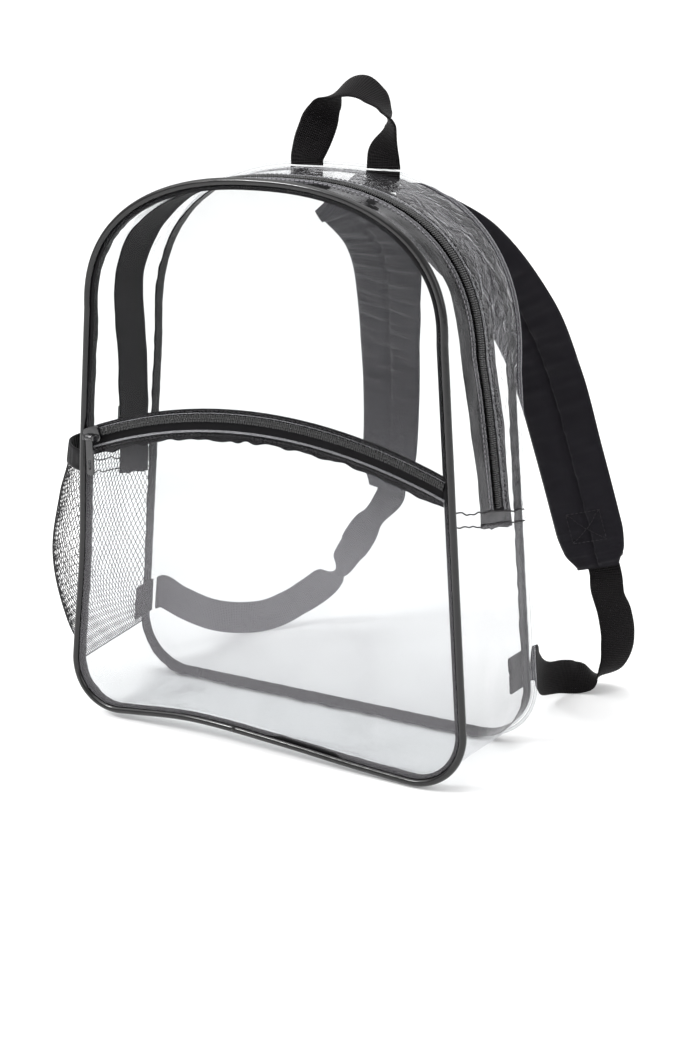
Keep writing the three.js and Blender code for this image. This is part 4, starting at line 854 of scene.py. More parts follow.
def disc_sheet(name, rim, middle, surface, replaces, flip, material="vinyl"):
    """Sheet inside a rim: rings that shrink towards its middle, closed by a fan."""
    rings = 1 - np.linspace(0, 1, 26)[:-1] ** 1.3
    flat = np.asarray(middle)[None, None] + (rim[None] - np.asarray(middle)) * rings[:, None, None]
    points = soften(flat[..., 0], surface(flat[..., 0], flat[..., 1]), flat[..., 1])
    count = len(rim)
    faces, _, _ = grid_faces(len(rings), count, wrap_columns=True)
    centre = np.array([[middle[0], float(surface(*map(float, middle))), middle[1]]])
    k = np.arange(count) + (len(rings) - 1) * count
    fan = np.stack([k, np.roll(k, -1), 0 * k + len(rings) * count], -1)
    faces, fan = (faces, fan[:, ::-1]) if flip else (faces[:, ::-1], fan)
    vertices = np.concatenate([points.reshape(-1, 3), centre])
    return make_piece(name, vertices, [faces, fan], material_of(material), "clear_vinyl", replaces=replaces)


class BACKPACK_OT_panels(bpy.types.Operator):
    """Makes the front, pocket and back sheets, with soft waves in them"""

    bl_idname = "backpack.panels"
    bl_label = "Clear panels"

    def execute(self, context):
        wave = context.scene.backpack_sizes.vinyl_wave / MM
        slow = ((0.021, 0.013, 1.0), (-0.034, 0.027, 0.7), (0.012, -0.055, 0.6), (0.07, 0.041, 0.35))

        def front(x, z):
            edge = np.clip(1 - np.abs(x) / FRONT["half"], 0, 0.2) * 5
            return front_surface(x, z) + SHEET / 2 + wave * edge * ripple(x, z, slow, 3)

        def back(x, z):
            edge = np.clip(1 - np.abs(x) / BACK["half"], 0, 0.2) * 5
            return back_surface(x, z) - SHEET / 2 + wave * edge * ripple(x, z, slow, 8)

        def pocket(x, z):
            across = 1 - np.minimum(np.abs(x) / POCKET_ZIP_HALF, 1) ** 2
            up = np.clip(z / (pocket_zip(x) - POCKET_TAPE_BELOW), 0, 1)
            depth = POCKET_DEPTH * across * np.sqrt(np.sin(up * math.pi))
            return front_surface(x, z) + SEAM_INSET + 1.6 + depth + wave * across * ripple(x, z, slow, 5)

        top = [0, (pocket_zip(0) + FRONT["top"]) / 2]
        low = [0, pocket_zip(0) / 2]
        disc_sheet("clear_front_upper", front_rim(False, POCKET_UPPER_EDGE, 0, 240), top, front,
            ["front_panel_upper"], False)
        disc_sheet("clear_front_lower", front_rim(True, -POCKET_LOWER_EDGE, 0, 240), low, front,
            ["front_panel_lower"], False)
        inset = SEAM_INSET + BINDING_THICKNESS + GAP
        disc_sheet("clear_pocket_back", front_rim(True, POCKET_TAPE_ABOVE, inset, 240), low, pocket,
            ["pocket_back_sheet"], False)
        turns = np.arange(360) / 360
        rim = np.stack(outline_point(BACK, turns), -1)
        disc_sheet("clear_back", rim, [0, BAG_HEIGHT / 2], back, ["back_panel"], True, "rear_vinyl")
        return {"FINISHED"}


class BACKPACK_OT_gusset(bpy.types.Operator):
    """Makes the clear side band: two strips beside the zipper, the base, and their folded edges"""

    bl_idname = "backpack.gusset"
    bl_label = "Clear side band"

    def execute(self, context):
        wave = context.scene.backpack_sizes.vinyl_wave / MM
        slow = ((90.0, 3.0, 1.0), (-150.0, 9.0, 0.6), (260.0, 14.0, 0.5), (47.0, -20.0, 0.5))

        def strip(name, low, high, node, seed, material):
            """Band between two depths, from joint to joint over the top."""
            s = np.linspace(0, 1, 15)[None]
            t = np.linspace(0, 1, 361)[:, None]
            turn = lerp(joint_turn(0.4), 1 - joint_turn(0.4), t)
            depth = lerp(low(turn), high(turn), s)
            joint = joint_turn(depth)
            turn = lerp(joint, 1 - joint, t)
            inner = np.sin(s * math.pi) ** 0.5
            out = -SHEET / 2 + wave * inner * ripple(turn, depth, slow, seed)
            points = band_point(turn, depth, out)
            return grid_piece(name, points, material_of(material), "clear_vinyl", replaces=[node], flip=True)

        half = share(MAIN_ZIP_WINDOW / 2)
        strip("clear_gusset_front", lambda t: 0 * t, lambda t: zip_centre(t) - half, "gusset_front_strip",
            11, "vinyl")
        strip("clear_gusset_rear", lambda t: zip_centre(t) + half, lambda t: 0 * t + 1, "gusset_rear_strip",
            12, "crumpled_vinyl")
        depth = np.linspace(0, 1, 49)[None]
        t = np.linspace(-1, 1, 321)[:, None]
        turn = t * joint_turn(depth)
        out = -SHEET / 2 + wave * np.sin(depth * math.pi) ** 0.5 * ripple(turn, depth, slow,
            13) * smooth(np.abs(t) * 3)
        base = band_point(turn, depth, out)
        base[..., 2] = np.maximum(base[..., 2], 0.05)
        grid_piece("clear_gusset_base", base, material_of("vinyl"), "clear_vinyl", replaces=["gusset_base"],
            flip=True)
        turn = np.linspace(joint_turn(0.5), 1 - joint_turn(0.5), 480)
        for side, sign in (("front", -1), ("rear", 1)):
            path = band_point(turn, zip_centre(turn) + sign * half, 0.1)
            middle = np.array([0.0, 1.0, 0.0])
            points = tube_points(path, 0.55, middle, 8)
            grid_piece(f"zip_window_edge_{side}", points, material_of("vinyl_edge"), "clear_vinyl",
                wrap_columns=True, caps=True)
        return {"FINISHED"}


def edge_path(shape, depth, diameter, plane, inward, count):
    """Centre line of a round edge: the outline moved out by the cord's radius, set on the panel's plane."""
    turns = np.arange(count) / count
    (px, pz), (nx, nz) = band_section(turns, float(depth))
    reach = GAP + diameter / 2
    x, z = px + nx * reach, pz + nz * reach
    return soften(x, plane(z) + inward, z)


class BACKPACK_OT_edges(bpy.types.Operator):
    """Makes the black piping, the clear rear welt and the bindings inside both seams"""

    bl_idname = "backpack.edges"
    bl_label = "Piping and bindings"

    def execute(self, context):
        sizes = context.scene.backpack_sizes
        upright = np.array([0.0, 1.0, 0.0])
        count = 720
        path = edge_path(FRONT, 0, PIPING_DIAMETER, front_plane, SHEET, count)
        radius = PIPING_DIAMETER / 2 * (1 + 0.02 * noise_line(count, 21, 30))
        butt = int(count * 0.985)
        path, radius = np.roll(path, -butt, 0), np.roll(radius, -butt)
        path = np.concatenate([path, [lerp(path[-1], path[0], 0.8)]])
        radius = np.append(radius, radius[-1])
        points = tube_points(path, radius, upright, 14)
        grid_piece("piping_cord", points, material_of("piping"), "black_piping", wrap_columns=True,
            caps=True, replaces=["front_piping"])
        s = np.array([0.4, -2.4, -2.4, 0.4])[None]
        face = np.array([0.0, 0.0, 1.0, 1.0])[None]
        turns = (np.arange(count) / count)[:, None]
        (px, pz), (nx, nz) = band_section(turns, 0.0)
        x, z = px + nx * s, pz + nz * s
        flange = soften(x, front_plane(z) + SHEET / 2 + 0.15 + 0.5 * face, z)
        grid_piece("piping_flange", flange, material_of("binding"), "black_piping", wrap_rows=True,
            wrap_columns=True, flip=True)
        path = edge_path(BACK, 1, BACK_EDGE_DIAMETER, back_plane, -BACK_EDGE_DIAMETER / 2, count)
        points = tube_points(path, BACK_EDGE_DIAMETER / 2 - 0.3, upright, 10, closed=True)
        grid_piece("clear_back_welt", points, material_of("vinyl_edge"), "clear_vinyl", wrap_rows=True,
            wrap_columns=True,
                   replaces=["back_seam_edge"])
        for name, from_front, node, seed in (
            ("front_binding_tape", True, "front_seam_binding", 31),
            ("back_binding_tape", False, "back_seam_binding", 32),
        ):
            turns = np.arange(count) / count
            stray = share(sizes.binding_ragged / MM) * noise_line(count, seed, 6)
            near, far = 0.002, share(BINDING_WIDTH * (0.5 if from_front else 1)) + stray
            edges = (near, far) if from_front else (1 - far, 1 - near)
            low, high = (np.broadcast_to(e, count) for e in edges)
            s = np.concatenate([np.linspace(0, 1, 7), np.linspace(1, 0, 7)])
            face = np.repeat([0.0, 1.0], 7)
            depth = lerp(low[:, None], high[:, None], s[None])
            curl = 0.5 * ripple(turns[:, None] * 400, s[None] * 2, ((1.0, 0.0, 1.0), (0.37, 1.0, 0.8)), seed)
            out = -SEAM_INSET - 0.1 - face[None] * 0.7 - np.abs(curl) * s[None] * 0.5
            points = band_point(turns[:, None], depth, out)
            grid_piece(name, points, material_of("binding"), "black_tape", wrap_rows=True, wrap_columns=True,
                replaces=[node],
                       flip=from_front)
        return {"FINISHED"}


def teeth(name, path, across, outward, width, height, pitch, node):
    """Zipper coil: on each side of the centre line a row of small bars square to it, the two rows set half a
    pitch apart so that they interlock."""
    steps = np.linalg.norm(np.diff(path, axis=0), axis=1)
    along = np.concatenate([[0], np.cumsum(steps)])
    template, faces = pebble(width * 0.62, pitch * 0.72, height * 1.15, rings=4, sides=6)
    origins, axes = [], []
    for sign, shift in ((-1, 0.0), (1, 0.5)):
        at = np.arange(pitch * (0.5 + shift), along[-1] - pitch / 2, pitch)
        centre, side, out = (
            np.stack([np.interp(at, along, values[:, k]) for k in range(3)], -1) for values in (path, across,
            outward)
        )
        side /= np.linalg.norm(side, axis=1, keepdims=True)
        forward = np.cross(out, side)
        forward /= np.linalg.norm(forward, axis=1, keepdims=True)
        out = np.cross(side, forward)
        origins.append(centre + sign * side * width * 0.21)
        axes.append(np.stack([side, forward, out], 1))
    return repeated(name, template, faces, np.concatenate(origins), np.concatenate(axes),
        material_of("coil"), "zip_teeth",
                    replaces=[node])


class BACKPACK_OT_main_zipper(bpy.types.Operator):
    """Makes the zipper over the bag's top: tape with ragged ends, interlocked coil and stitches"""

    bl_idname = "backpack.main_zipper"
    bl_label = "Main zipper"

    def execute(self, context):
        sizes = context.scene.backpack_sizes
        start = float(joint_turn(zip_centre(joint_turn(0.5))))
        tail = MAIN_TAPE_TAIL * TURN_PER_MM
        s = np.concatenate([np.linspace(-1, 1, 17), np.linspace(1, -1, 17)])[None]
        face = np.repeat([0.0, 1.0], 17)[None]
        t = np.linspace(0, 1, 420)[:, None]
        ragged = 2.0 * TURN_PER_MM * noise_line(34, 41, 2)[None]
        first, last = start - tail + ragged, 1 - start + tail - ragged
        turn = lerp(first, last, t)
        wave = 1.2 * ripple(turn * 200, s * 1.5, ((1.0, 0.3, 1.0), (0.43, -1.0, 0.8), (1.9, 0.0, 0.4)), 42)
        depth = zip_centre(turn) + s * share(MAIN_TAPE_WIDTH / 2 + 1.8 * noise_line(420, 43, 50)[:, None])
        out = -SEAM_INSET - 0.1 - 0.55 * face - (0.6 + wave * 0.4) * np.maximum(np.abs(s) - 0.55, 0) * 2
        tape = band_point(turn, depth, out)
        grid_piece("main_tape", tape, material_of("tape"), "black_tape", wrap_columns=True, caps=True,
            replaces=["main_zip_tape"])
        turn = np.linspace(start + 2 * TURN_PER_MM, 1 - start - 2 * TURN_PER_MM, 1400)
        centre = zip_centre(turn)
        path = band_point(turn, centre, MAIN_COIL_HEIGHT / 2 - SHEET)
        across = band_point(turn, centre + 0.02, 0.0) - band_point(turn, centre - 0.02, 0.0)
        outward = band_point(turn, centre, 2.0) - band_point(turn, centre, 0.0)
        teeth("main_coil_teeth", path, across, outward, MAIN_COIL_WIDTH, MAIN_COIL_HEIGHT,
            sizes.tooth_pitch / MM, "main_zip_coil")
        # The front row gets the pale thread and the rear row the dark one: a painted lit and shaded copy of the
        # same stitches.
        for side, sign, material in (("front", -1, "pale_thread"), ("rear", 1, "thread")):
            path = band_point(turn, centre + sign * share(MAIN_ZIP_WINDOW / 2 + 3.2), 0.1)
            stitch_row(f"zip_stitches_{side}", path, np.array([0.0, 1.0, 0.0]), sizes, material_of(material))
        return {"FINISHED"}


class BACKPACK_OT_joint_stitches(bpy.types.Operator):
    """Makes the two rows of stitches across each side, where the zipper band laps over the base"""

    bl_idname = "backpack.joint_stitches"
    bl_label = "Cross stitches"

    def execute(self, context):
        sizes = context.scene.backpack_sizes
        depth = np.linspace(0.02, 0.985, 80)
        for side, mirror in (("right", False), ("left", True)):
            for row, drop in (("upper", 0.0), ("lower", 9.0)):
                turn = joint_turn(depth) - drop * TURN_PER_MM
                turn = turn + 1.1 * TURN_PER_MM * noise_line(80, 45 + int(drop) + mirror, 9)
                path = band_point(1 - turn if mirror else turn, depth, 0.45)
                tube = tube_points(path, 0.5, np.array([0.0, 0.0, 1.0]), 6)
                grid_piece(f"cross_thread_{row}_{side}", tube, material_of("thread"), "black_webbing",
                    wrap_columns=True, caps=True)
        return {"FINISHED"}


class BACKPACK_OT_pocket_zipper(bpy.types.Operator):
    """Makes the arched front pocket zipper: tape with a wavy lower edge, coil and the folded vinyl edges"""

    bl_idname = "backpack.pocket_zipper"
    bl_label = "Pocket zipper"

    def execute(self, context):
        sizes = context.scene.backpack_sizes
        inset = SEAM_INSET + BINDING_THICKNESS + GAP
        t = np.linspace(-1, 1, 260)[:, None]
        heights = np.linspace(POCKET_TAPE_ABOVE, -POCKET_TAPE_BELOW, 14)
        stray = sizes.tape_wave / MM * noise_line(260, 51, 14)[:, None]
        low = smooth((-heights[None] - POCKET_LOWER_EDGE) / (POCKET_TAPE_BELOW - POCKET_LOWER_EDGE))
        height = np.concatenate([heights[None] + stray * low, (heights[None] + stray * low)[:, ::-1]], 1)
        face = np.repeat([0.0, 1.0], 14)[None]
        curl = np.concatenate([low, low[:, ::-1]],
            1) * 0.5 * (1 + ripple(t * 40, height, ((1.0, 0.0, 1.0), (2.3, 0.1, 0.6)), 52))
        edge = outline_point(FRONT, turn_at_height(POCKET_ZIP_END_HEIGHT + heights.mean(), 0))[0] - inset
        x = t * edge
        z = pocket_zip(x) + height
        y = front_surface(x, z) + SEAM_INSET + face * 0.5 + curl * 0.7
        grid_piece("pocket_tape", soften(x, y, z), material_of("tape"), "black_tape", wrap_columns=True,
            caps=True,
                   replaces=["pocket_zip_tape"], flip=True)
        x = np.linspace(-POCKET_ZIP_HALF + 1, POCKET_ZIP_HALF - 1, 700)
        z = pocket_zip(x)

        def on_front(x, z, out):
            return soften(x, front_surface(x, z) + out, z)

        path = on_front(x, z, SHEET - POCKET_COIL_HEIGHT / 2)
        across = on_front(x, z + 1, 0) - on_front(x, z - 1, 0)
        outward = np.broadcast_to([0.0, -1.0, 0.0], path.shape)
        teeth("pocket_coil_teeth", path, across, outward, POCKET_COIL_WIDTH, POCKET_COIL_HEIGHT,
            sizes.tooth_pitch / MM * 0.9,
              "pocket_zip_coil")
        for side, drop, radius in (("upper", POCKET_UPPER_EDGE, 0.25), ("lower", -POCKET_LOWER_EDGE, 0.7)):
            path = on_front(x, z + drop, 0.0)
            points = tube_points(path, radius, np.array([0.0, -1.0, 0.0]), 8)
            grid_piece(f"pocket_edge_{side}", points, material_of("vinyl_edge"), "clear_vinyl",
                wrap_columns=True, caps=True)
        for side, drop in (("upper", POCKET_UPPER_EDGE + 1.6), ("lower", -POCKET_LOWER_EDGE - 2.6)):
            path = on_front(x, z + drop, -0.1)
            stitch_row(f"pocket_stitches_{side}", path, np.array([0.0, -1.0, 0.0]), sizes,
                material_of("thread"))
        return {"FINISHED"}


def rounded_copy(name, node, bevel, material, body=BAG_BODY):
    """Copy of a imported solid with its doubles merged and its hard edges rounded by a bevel."""
    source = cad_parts[node]
    mesh = source.data.copy()
    mesh.name = name
    piece = bpy.data.objects.new(name, mesh)
    bpy.context.scene.collection.objects.link(piece)
    bpy.context.view_layer.objects.active = piece
    mesh.materials.clear()
    mesh.materials.append(material)
    weld = piece.modifiers.new("weld", "WELD")
    weld.merge_threshold = 0.00001
    edge = piece.modifiers.new("bevel", "BEVEL")
    edge.width = bevel
    edge.segments = 3
    edge.limit_method = "ANGLE"
    edge.angle_limit = math.radians(35)
    mesh.polygons.foreach_set("use_smooth", [True] * len(mesh.polygons))
    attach(piece, body)
    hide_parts(node)
    return piece


class BACKPACK_OT_hardware(bpy.types.Operator):
    """Makes the sliders, the pocket's pull and the strap adjusters, with rounded edges"""

    bl_idname = "backpack.hardware"
    bl_label = "Sliders and adjusters"

    def execute(self, context):
        enamel, plastic = material_of("enamel"), material_of("plastic")
        rounded_copy("main_slider", "main_zip_slider", 0.0006, enamel)
        rounded_copy("pocket_slider", "pocket_zip_slider", 0.0005, enamel)
        rounded_copy("pocket_pull_tab", "pocket_zip_pull", 0.0003, enamel, PULL_BODY)
        rounded_copy("strap_lock_right", "ladder_lock_right", 0.0006, plastic)
        rounded_copy("strap_lock_left", "ladder_lock_left", 0.0006, plastic)
        return {"FINISHED"}


def net_point(across, up, out):
    """Point of the net pocket: the band's side, moved out by the product of a curve of height and a sine
    across that is drawn towards the front."""
    height = lerp(NET_BOTTOM_HEIGHT, NET_BAND_BOTTOM, up)
    depth = lerp(share(PIPING_DIAMETER), 1 - share(BACK_EDGE_DIAMETER + GAP), across)
    fullness = curve_value(NET_FULLNESS,
        up) * np.sin(np.clip(across, 0, 1) ** NET_FORWARD * math.pi) ** NET_ROUND
    return band_point(1 - turn_at_height(height, depth), depth,
        2 * GAP + NET_BULGE * np.maximum(fullness, 0) + out)


class BACKPACK_OT_side_pocket(bpy.types.Operator):
    """Makes the net side pocket: a lattice of knitted threads, its hems and the elastic band"""

    bl_idname = "backpack.side_pocket"
    bl_label = "Net pocket"

    def execute(self, context):
        sizes = context.scene.backpack_sizes
        cell = sizes.net_cell / MM
        columns = 2 * round(150 / cell)
        rows = 2 * round((NET_BAND_BOTTOM - NET_BOTTOM_HEIGHT) / cell / 2)
        i, j = np.meshgrid(np.arange(columns + 1), np.arange(rows + 1), indexing="ij")
        stretch = 0.006 * ripple(i * 0.35, j * 0.5, ((1.0, 0.2, 1.0), (0.3, 1.0, 1.0)), 61)
        points = net_point(np.clip(i / columns + stretch, 0, 1), j / rows * 0.995, 0.5)
        edges = []
        for step in (1, -1):
            a, b = np.meshgrid(np.arange(columns), np.arange(rows), indexing="ij")
            keep = (a + b) % 2 == (0 if step == 1 else 1)
            a, b = a[keep], b[keep]
            start, end = (b, b + 1) if step == 1 else (b, b + 1)
            first = points[a, start] if step == 1 else points[a + 1, start]
            second = points[a + 1, end] if step == 1 else points[a, end]
            edges.append((first, second))
        first, second = (np.concatenate(e) for e in zip(*edges))
        along = second - first
        length = np.linalg.norm(along, axis=1, keepdims=True)
        along /= length
        outward = np.array([-1.0, -0.25, 0.1])
        side = np.cross(along, outward)
        side /= np.linalg.norm(side, axis=1, keepdims=True)
        half = sizes.net_thread / MM / 2
        corner = np.array([(-1, -0.6), (1, -0.6), (1, 0.6), (-1, 0.6)]) * half
        up = np.cross(side, along)
        ring = corner[None, :, :1] * side[:, None] + corner[None, :, 1:] * up[:, None]
        threads = np.concatenate([first[:, None] + ring, second[:, None] + ring], 1)
        k = np.arange(4)
        walls = np.stack([k, (k + 1) % 4, (k + 1) % 4 + 4, k + 4], -1)
        ends = np.array([[3, 2, 1, 0], [4, 5, 6, 7]])
        faces = np.concatenate([walls, ends])
        faces = (faces[None] + (np.arange(len(first)) * 8)[:, None, None]).reshape(-1, 4)
        make_piece("knitted_net", threads.reshape(-1, 3), faces, material_of("net"), "black_net",
            replaces=["side_pocket_net"])
        s = np.linspace(0, 1, 160)
        hem = net_point(s, 0.0, 0.6)
        grid_piece("net_bottom_hem", tube_points(hem, 0.45, np.array([0.0, 0.0, 1.0]), 8),
            material_of("binding"), "black_tape",
                   wrap_columns=True, caps=True)
        high = 1 + NET_BAND_HEIGHT / (NET_BAND_BOTTOM - NET_BOTTOM_HEIGHT)
        up = np.concatenate([np.linspace(1, high, 9), np.linspace(high, 1, 9)])[None]
        face = np.repeat([2.0, 0.2], 9)[None]
        gather = 0.35 * np.sin(s * 150 * 2 * math.pi / 5)[:, None] * np.sin((up - 1) / (high - 1) * math.pi)
        band = net_point(s[:, None], up, face + gather)
        grid_piece("elastic_band", band, material_of("elastic"), "black_elastic", wrap_columns=True,
            caps=True,
                   replaces=["side_pocket_band"])
        return {"FINISHED"}


class BACKPACK_OT_handle(bpy.types.Operator):
    """Makes the twisted webbing handle"""

    bl_idname = "backpack.handle"
    bl_label = "Handle"

    def execute(self, context):
        y = BAG_DEPTH / 2 + BACK_LEAN - BACK_EDGE_DIAMETER - GAP - HANDLE_THICKNESS
        rows = []
        for along, up, turn, lift in HANDLE_ROWS:
            angle = math.radians(turn)
            centre = (HANDLE_OFFSET + along * HANDLE_SPAN, y, BAG_HEIGHT - GAP + up * HANDLE_HEIGHT)
            rows.append((centre, (math.cos(angle), math.sin(angle), lift), HANDLE_WIDTH))
        points = ribbon_points(rows, 240, webbing_section(HANDLE_THICKNESS))
        grid_piece("webbing_handle", points, material_of("webbing"), "black_webbing", wrap_columns=True,
            caps=True,
                   replaces=["grab_handle"])
        for side, row in (("left", HANDLE_ROWS[0]), ("right", HANDLE_ROWS[-1])):
            self.sewn_end(side, HANDLE_OFFSET + row[0] * HANDLE_SPAN, y)
        return {"FINISHED"}


    def sewn_end(self, side, middle, y):
        """Flat end of the webbing inside the top seam: a rounded band that hangs down the back panel."""
        z = np.linspace(BAG_HEIGHT - 1.5, BAG_HEIGHT - 15, 30)[:, None]
        section = webbing_section(0.9, 12)[None]
        x = middle + section[..., 0] * HANDLE_WIDTH + 0 * z
        depth = y - 0.6 - 0.02 * (BAG_HEIGHT - z) + section[..., 1]
        points = np.stack(np.broadcast_arrays(x, depth, z), -1)
        grid_piece(f"handle_end_{side}", points, material_of("webbing"), "black_webbing", wrap_columns=True,
            caps=True)


def behind_point(across, up, behind, lift):
    z = up * BAG_HEIGHT
    y = back_plane(z) + PANEL_CROWN + 2 * GAP + lift + behind * STRAP_REACH
    return (across * BACK_WIDTH / 2, y, z)


def pad_rows(table):
    rows = []
    for across, up, behind, width, lean in table:
        angle = math.radians(lean)
        rows.append((behind_point(across, up, behind, PAD_THICKNESS / 2),
            (math.cos(angle), 0, -math.sin(angle)), width * PAD_WIDTH))
    return rows


def pad_end(table):
    """Frame at a pad's end: its centre, the direction down the strap, across it and away from the bag."""
    rows = pad_rows(table)
    centre, across = np.array(rows[-1][0]), np.array(rows[-1][1])
    along = centre - np.array(rows[-2][0])
    along /= np.linalg.norm(along)
    across = across - across.dot(along) * along
    across /= np.linalg.norm(across)
    away = np.cross(across, along)
    away /= np.linalg.norm(away)
    return centre, along, across, away if away[1] > 0 else -away


class BACKPACK_OT_straps(bpy.types.Operator):
    """Makes the padded straps with their seams, and the webbing that runs from them to the lower corners"""

    bl_idname = "backpack.straps"
    bl_label = "Straps"

    def execute(self, context):
        sizes = context.scene.backpack_sizes
        for side, table, web, seed in (("right", PAD_RIGHT, WEB_RIGHT, 71),
            ("left", PAD_LEFT, WEB_LEFT, 72)):
            self.pad(side, table, sizes, seed)
            self.webbing(side, table, web)
            self.tail(side)
        return {"FINISHED"}

    def pad(self, side, table, sizes, seed):
        """Padded strap: a closed section whose thickness falls to a bound edge by a power curve, with a
        groove along its middle, carried along the strap, with cross wrinkles and rounded ends."""
        steps, points = 300, 29
        path, across, normal, widths = ribbon_frames(pad_rows(table), steps)
        a = np.linspace(-1, 1, points)
        edge = (1 - np.abs(a) ** 5) ** 0.5
        t = np.linspace(0, 1, steps + 1)[:, None]
        wrinkle = ripple(t * 160, a[None] * 2.2,
            ((1.0, 0.6, 1.0), (0.57, -1.3, 0.9), (1.9, 0.9, 0.5), (0.23, 2.0, 0.6)), seed)
        groove = sizes.seam_groove / MM * np.exp(-(a[None] / 0.055) ** 2) * smooth((t - 0.12) * 8)
        half = PAD_THICKNESS / 2
        thick = 0.8 + (half - 0.8) * edge[None] + sizes.pad_wrinkle / MM * wrinkle * edge[None]
        thick = np.minimum(thick - groove, half + 0.9)
        end = np.minimum(smooth((1 - t) * 26) ** 0.5, smooth(t * 40) ** 0.5)
        thick = np.maximum(thick * (0.25 + 0.75 * end), 0.35)
        inward = 1 - 0.24 * (1 - smooth((1 - t) * 14)) ** 1.5
        flat = a[None] * (widths[:, None] / 2) * inward
        top = path[:, None] + across[:, None] * flat[..., None] + normal[:, None] * thick[..., None]
        low = path[:, None] + across[:, None] * flat[..., None] - normal[:, None] * thick[..., None]
        section = np.concatenate([top, low[:, -2:0:-1]], 1)
        piece = grid_piece(f"padded_strap_{side}", section, material_of("pad"), "pad_fabric",
            wrap_columns=True, caps=True,
                           replaces=[f"shoulder_pad_{side}"])
        away = 1.0 if normal[steps // 2, 1] > 0 else -1.0
        self.box_stitch(side, path, across, normal * away, widths, sizes)

    def box_stitch(self, side, path, across, normal, widths, sizes):
        """Box with a cross in it sewn through the pad near its end, on both faces."""
        steps = len(path) - 1
        low, high = int(steps * 0.825), int(steps * 0.9)
        rows = []
        for face in (1, -1):
            def at(s, v):
                k = np.clip((lerp(low, high, s)).astype(int), 0, steps)
                return path[k] + across[k] * (v * 13)[:, None] + normal[k] * face * (PAD_THICKNESS / 2 + 0.7)
            s = np.linspace(0, 1, 40)
            one = np.ones(40)
            rows += [at(s, one), at(s, -one), at(s, 2 * s - 1), at(s, 1 - 2 * s), at(0 * s, 2 * s - 1),
                at(0 * s + 1, 2 * s - 1)]
        for number, row in enumerate(rows):
            outward = normal[(low + high) // 2]
            stitch_row(f"box_stitches_{side}_{number + 1}", row, outward, sizes, material_of("thread"))

    def webbing(self, side, table, web):
        centre, along, across, away = pad_end(table)
        lock_back = PAD_THICKNESS / 2 + GAP + LOCK_THICKNESS
        in_slot = -LOCK_FROM_PAD_END - LOCK_BAR

        def place(down, out):
            return centre + along * down + away * (lock_back + GAP + WEBBING_THICKNESS / 2 + out)

        rows = [(place(in_slot, GAP), across, WEBBING_WIDTH),
            (place(in_slot / 2, GAP / 2), across, WEBBING_WIDTH),
                (place(-in_slot, 0), across, WEBBING_WIDTH)]
        for x, up, behind, *direction in web:
            direction = np.array(direction) / np.linalg.norm(direction)
            rows.append((behind_point(x, up, behind, WEBBING_THICKNESS / 2), direction, WEBBING_WIDTH))
        points = ribbon_points(rows, 420, webbing_section(WEBBING_THICKNESS))
        points[..., 2] = np.maximum(points[..., 2], 0.1)
        grid_piece(f"adjusting_webbing_{side}", points, material_of("webbing"), "black_webbing",
            wrap_columns=True, caps=True,
                   replaces=[f"strap_webbing_{side}"])

    def tail(self, side):
        """End of the webbing inside the lower corner: a flat piece on the band, frayed at its cut end."""
        s = np.linspace(0, 1, 30)[:, None]
        v = np.concatenate([np.linspace(-1, 1, 16), np.linspace(1, -1, 16)])[None]
        face = np.repeat([0.0, 1.0], 16)[None]
        cut = share(1.5) * noise_line(32, 81, 2)[None]
        depth = lerp(1 - share(GAP) - share(TAIL_LENGTH) + cut, 1 - share(GAP), s)
        turn = turn_at_height(TAIL_HEIGHT + v * WEBBING_WIDTH / 2, depth)
        out = -SEAM_INSET - BINDING_THICKNESS - GAP - face * WEBBING_THICKNESS
        points = band_point(turn if side == "right" else 1 - turn, depth, out)
        grid_piece(f"sewn_tail_{side}", points, material_of("webbing"), "black_webbing", wrap_columns=True,
            caps=True,
                   replaces=[f"strap_tail_{side}"], flip=side == "right")


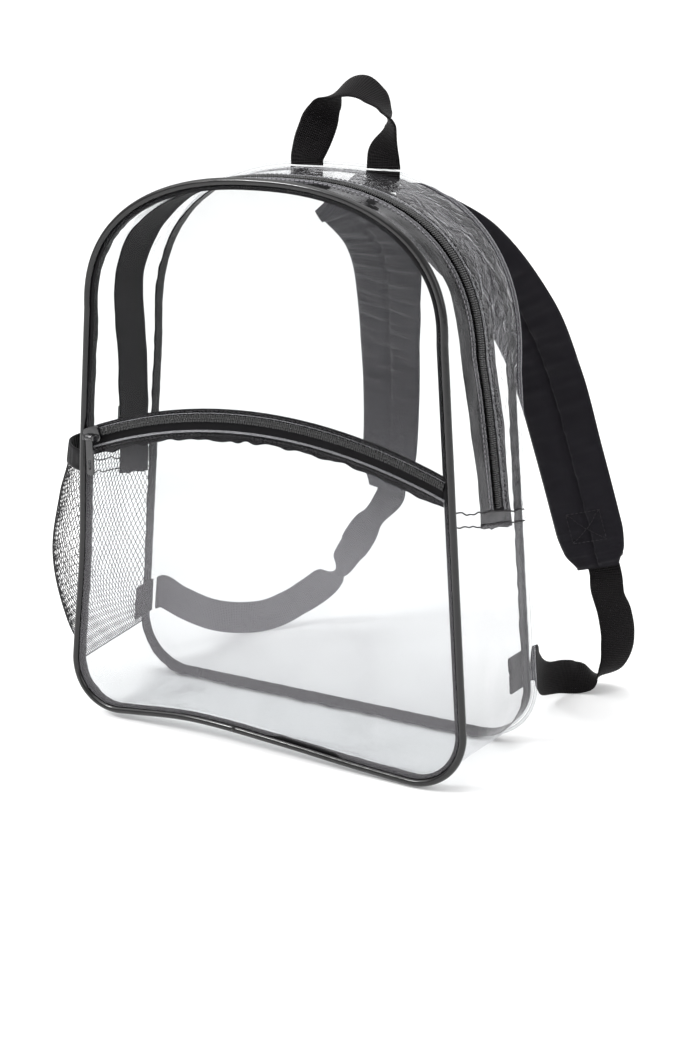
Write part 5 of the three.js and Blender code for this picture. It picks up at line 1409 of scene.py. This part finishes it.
class BACKPACK_OT_stage(bpy.types.Operator):
    """Makes the floor, the lights and the camera"""

    bl_idname = "backpack.stage"
    bl_label = "Stage"

    def execute(self, context):
        scene, settings = context.scene, context.scene.backpack_stage
        turn = np.arange(96) / 96 * 2 * math.pi
        reach = np.array([0.0, 400.0, 4000.0, 90000.0])[:, None]
        floor = np.stack([reach * np.cos(turn), reach * np.sin(turn), 0 * reach * turn], -1)
        mesh = bpy.data.meshes.new("studio_floor")
        faces, _, _ = grid_faces(4, 96, wrap_columns=True)
        mesh.from_pydata((floor.reshape(-1, 3) * MM).tolist(), [], faces.tolist())
        mesh.materials.append(material_of("floor"))
        ground = bpy.data.objects.new("studio_floor", mesh)
        scene.collection.objects.link(ground)
        world = bpy.data.worlds.new("white_studio")
        world.use_nodes = True
        world.node_tree.nodes.clear()
        direction = add(world.node_tree, "ShaderNodeTexCoord").outputs["Generated"]
        across = add(world.node_tree, "ShaderNodeSeparateXYZ", {0: direction}).outputs[1]
        glow = add(world.node_tree, "ShaderNodeMapRange",
            {0: across, 1: -0.2, 2: 0.6, 3: 0.6 * settings.sky, 4: settings.sky})
        background = add(world.node_tree, "ShaderNodeBackground",
            {"Color": (1, 1, 1, 1), "Strength": glow.outputs[0]})
        add(world.node_tree, "ShaderNodeOutputWorld", {"Surface": background.outputs[0]})
        scene.world = world
        # Key from the front left, a softer fill from the right and a long top light
        for name, place, size, energy in (
            ("key_light", (-1.2, -1.6, 1.9), 0.5, 34.0), ("fill_light", (1.9, -0.7, 1.3), 1.2, 8.0),
            ("top_light", (0.1, 0.5, 2.4), 1.6, 10.0),
        ):
            data = bpy.data.lights.new(name, "AREA")
            data.energy, data.size = energy, size
            light = bpy.data.objects.new(name, data)
            light.location = place
            light.rotation_euler = (Vector((0, 0, 0.2)) - Vector(place)).to_track_quat("-Z", "Y").to_euler()
            scene.collection.objects.link(light)
        daylight = bpy.data.lights.new("even_light", "SUN")
        daylight.energy, daylight.angle = 1.75, math.radians(70)
        even = bpy.data.objects.new("even_light", daylight)
        even.rotation_euler = (math.radians(18), math.radians(-22), 0)
        scene.collection.objects.link(even)
        camera_data = bpy.data.cameras.new("photo_camera")
        camera_data.lens = settings.lens
        camera = bpy.data.objects.new("photo_camera", camera_data)
        camera.location = settings.camera_place
        aim = Vector(settings.camera_target) - Vector(settings.camera_place)
        camera.rotation_euler = aim.to_track_quat("-Z", "Y").to_euler()
        scene.collection.objects.link(camera)
        scene.camera = camera
        scene.view_settings.view_transform = "Standard"
        return {"FINISHED"}


class BACKPACK_PT_panel(bpy.types.Panel):
    """Lists the bag's operators, sizes and colours"""

    bl_label = "Backpack"
    bl_idname = "BACKPACK_PT_panel"
    bl_space_type = "VIEW_3D"
    bl_region_type = "UI"
    bl_category = "Backpack"

    def draw(self, context):
        for operator in PIECE_OPERATORS:
            self.layout.operator(operator.bl_idname)
        for settings in (context.scene.backpack_sizes, context.scene.backpack_colours,
            context.scene.backpack_stage):
            for key in settings.bl_rna.properties.keys():
                if key not in ("rna_type", "name"):
                    self.layout.prop(settings, key)


PIECE_OPERATORS = (
    BACKPACK_OT_materials,
    BACKPACK_OT_panels,
    BACKPACK_OT_gusset,
    BACKPACK_OT_edges,
    BACKPACK_OT_main_zipper,
    BACKPACK_OT_joint_stitches,
    BACKPACK_OT_pocket_zipper,
    BACKPACK_OT_hardware,
    BACKPACK_OT_side_pocket,
    BACKPACK_OT_handle,
    BACKPACK_OT_straps,
    BACKPACK_OT_stage,
)
CLASSES = (BackpackSizes, BackpackColours, StageSettings, *PIECE_OPERATORS, BACKPACK_PT_panel)


def register():
    for item in CLASSES:
        bpy.utils.register_class(item)
    bpy.types.Scene.backpack_sizes = PointerProperty(type=BackpackSizes)
    bpy.types.Scene.backpack_colours = PointerProperty(type=BackpackColours)
    bpy.types.Scene.backpack_stage = PointerProperty(type=StageSettings)


def unregister():
    del bpy.types.Scene.backpack_stage
    del bpy.types.Scene.backpack_colours
    del bpy.types.Scene.backpack_sizes
    for item in reversed(CLASSES):
        bpy.utils.unregister_class(item)


def main():
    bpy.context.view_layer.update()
    register()
    for operator in PIECE_OPERATORS:
        group, name = operator.bl_idname.split(".")
        getattr(getattr(bpy.ops, group), name)()


if __name__ == "__main__":
    main()
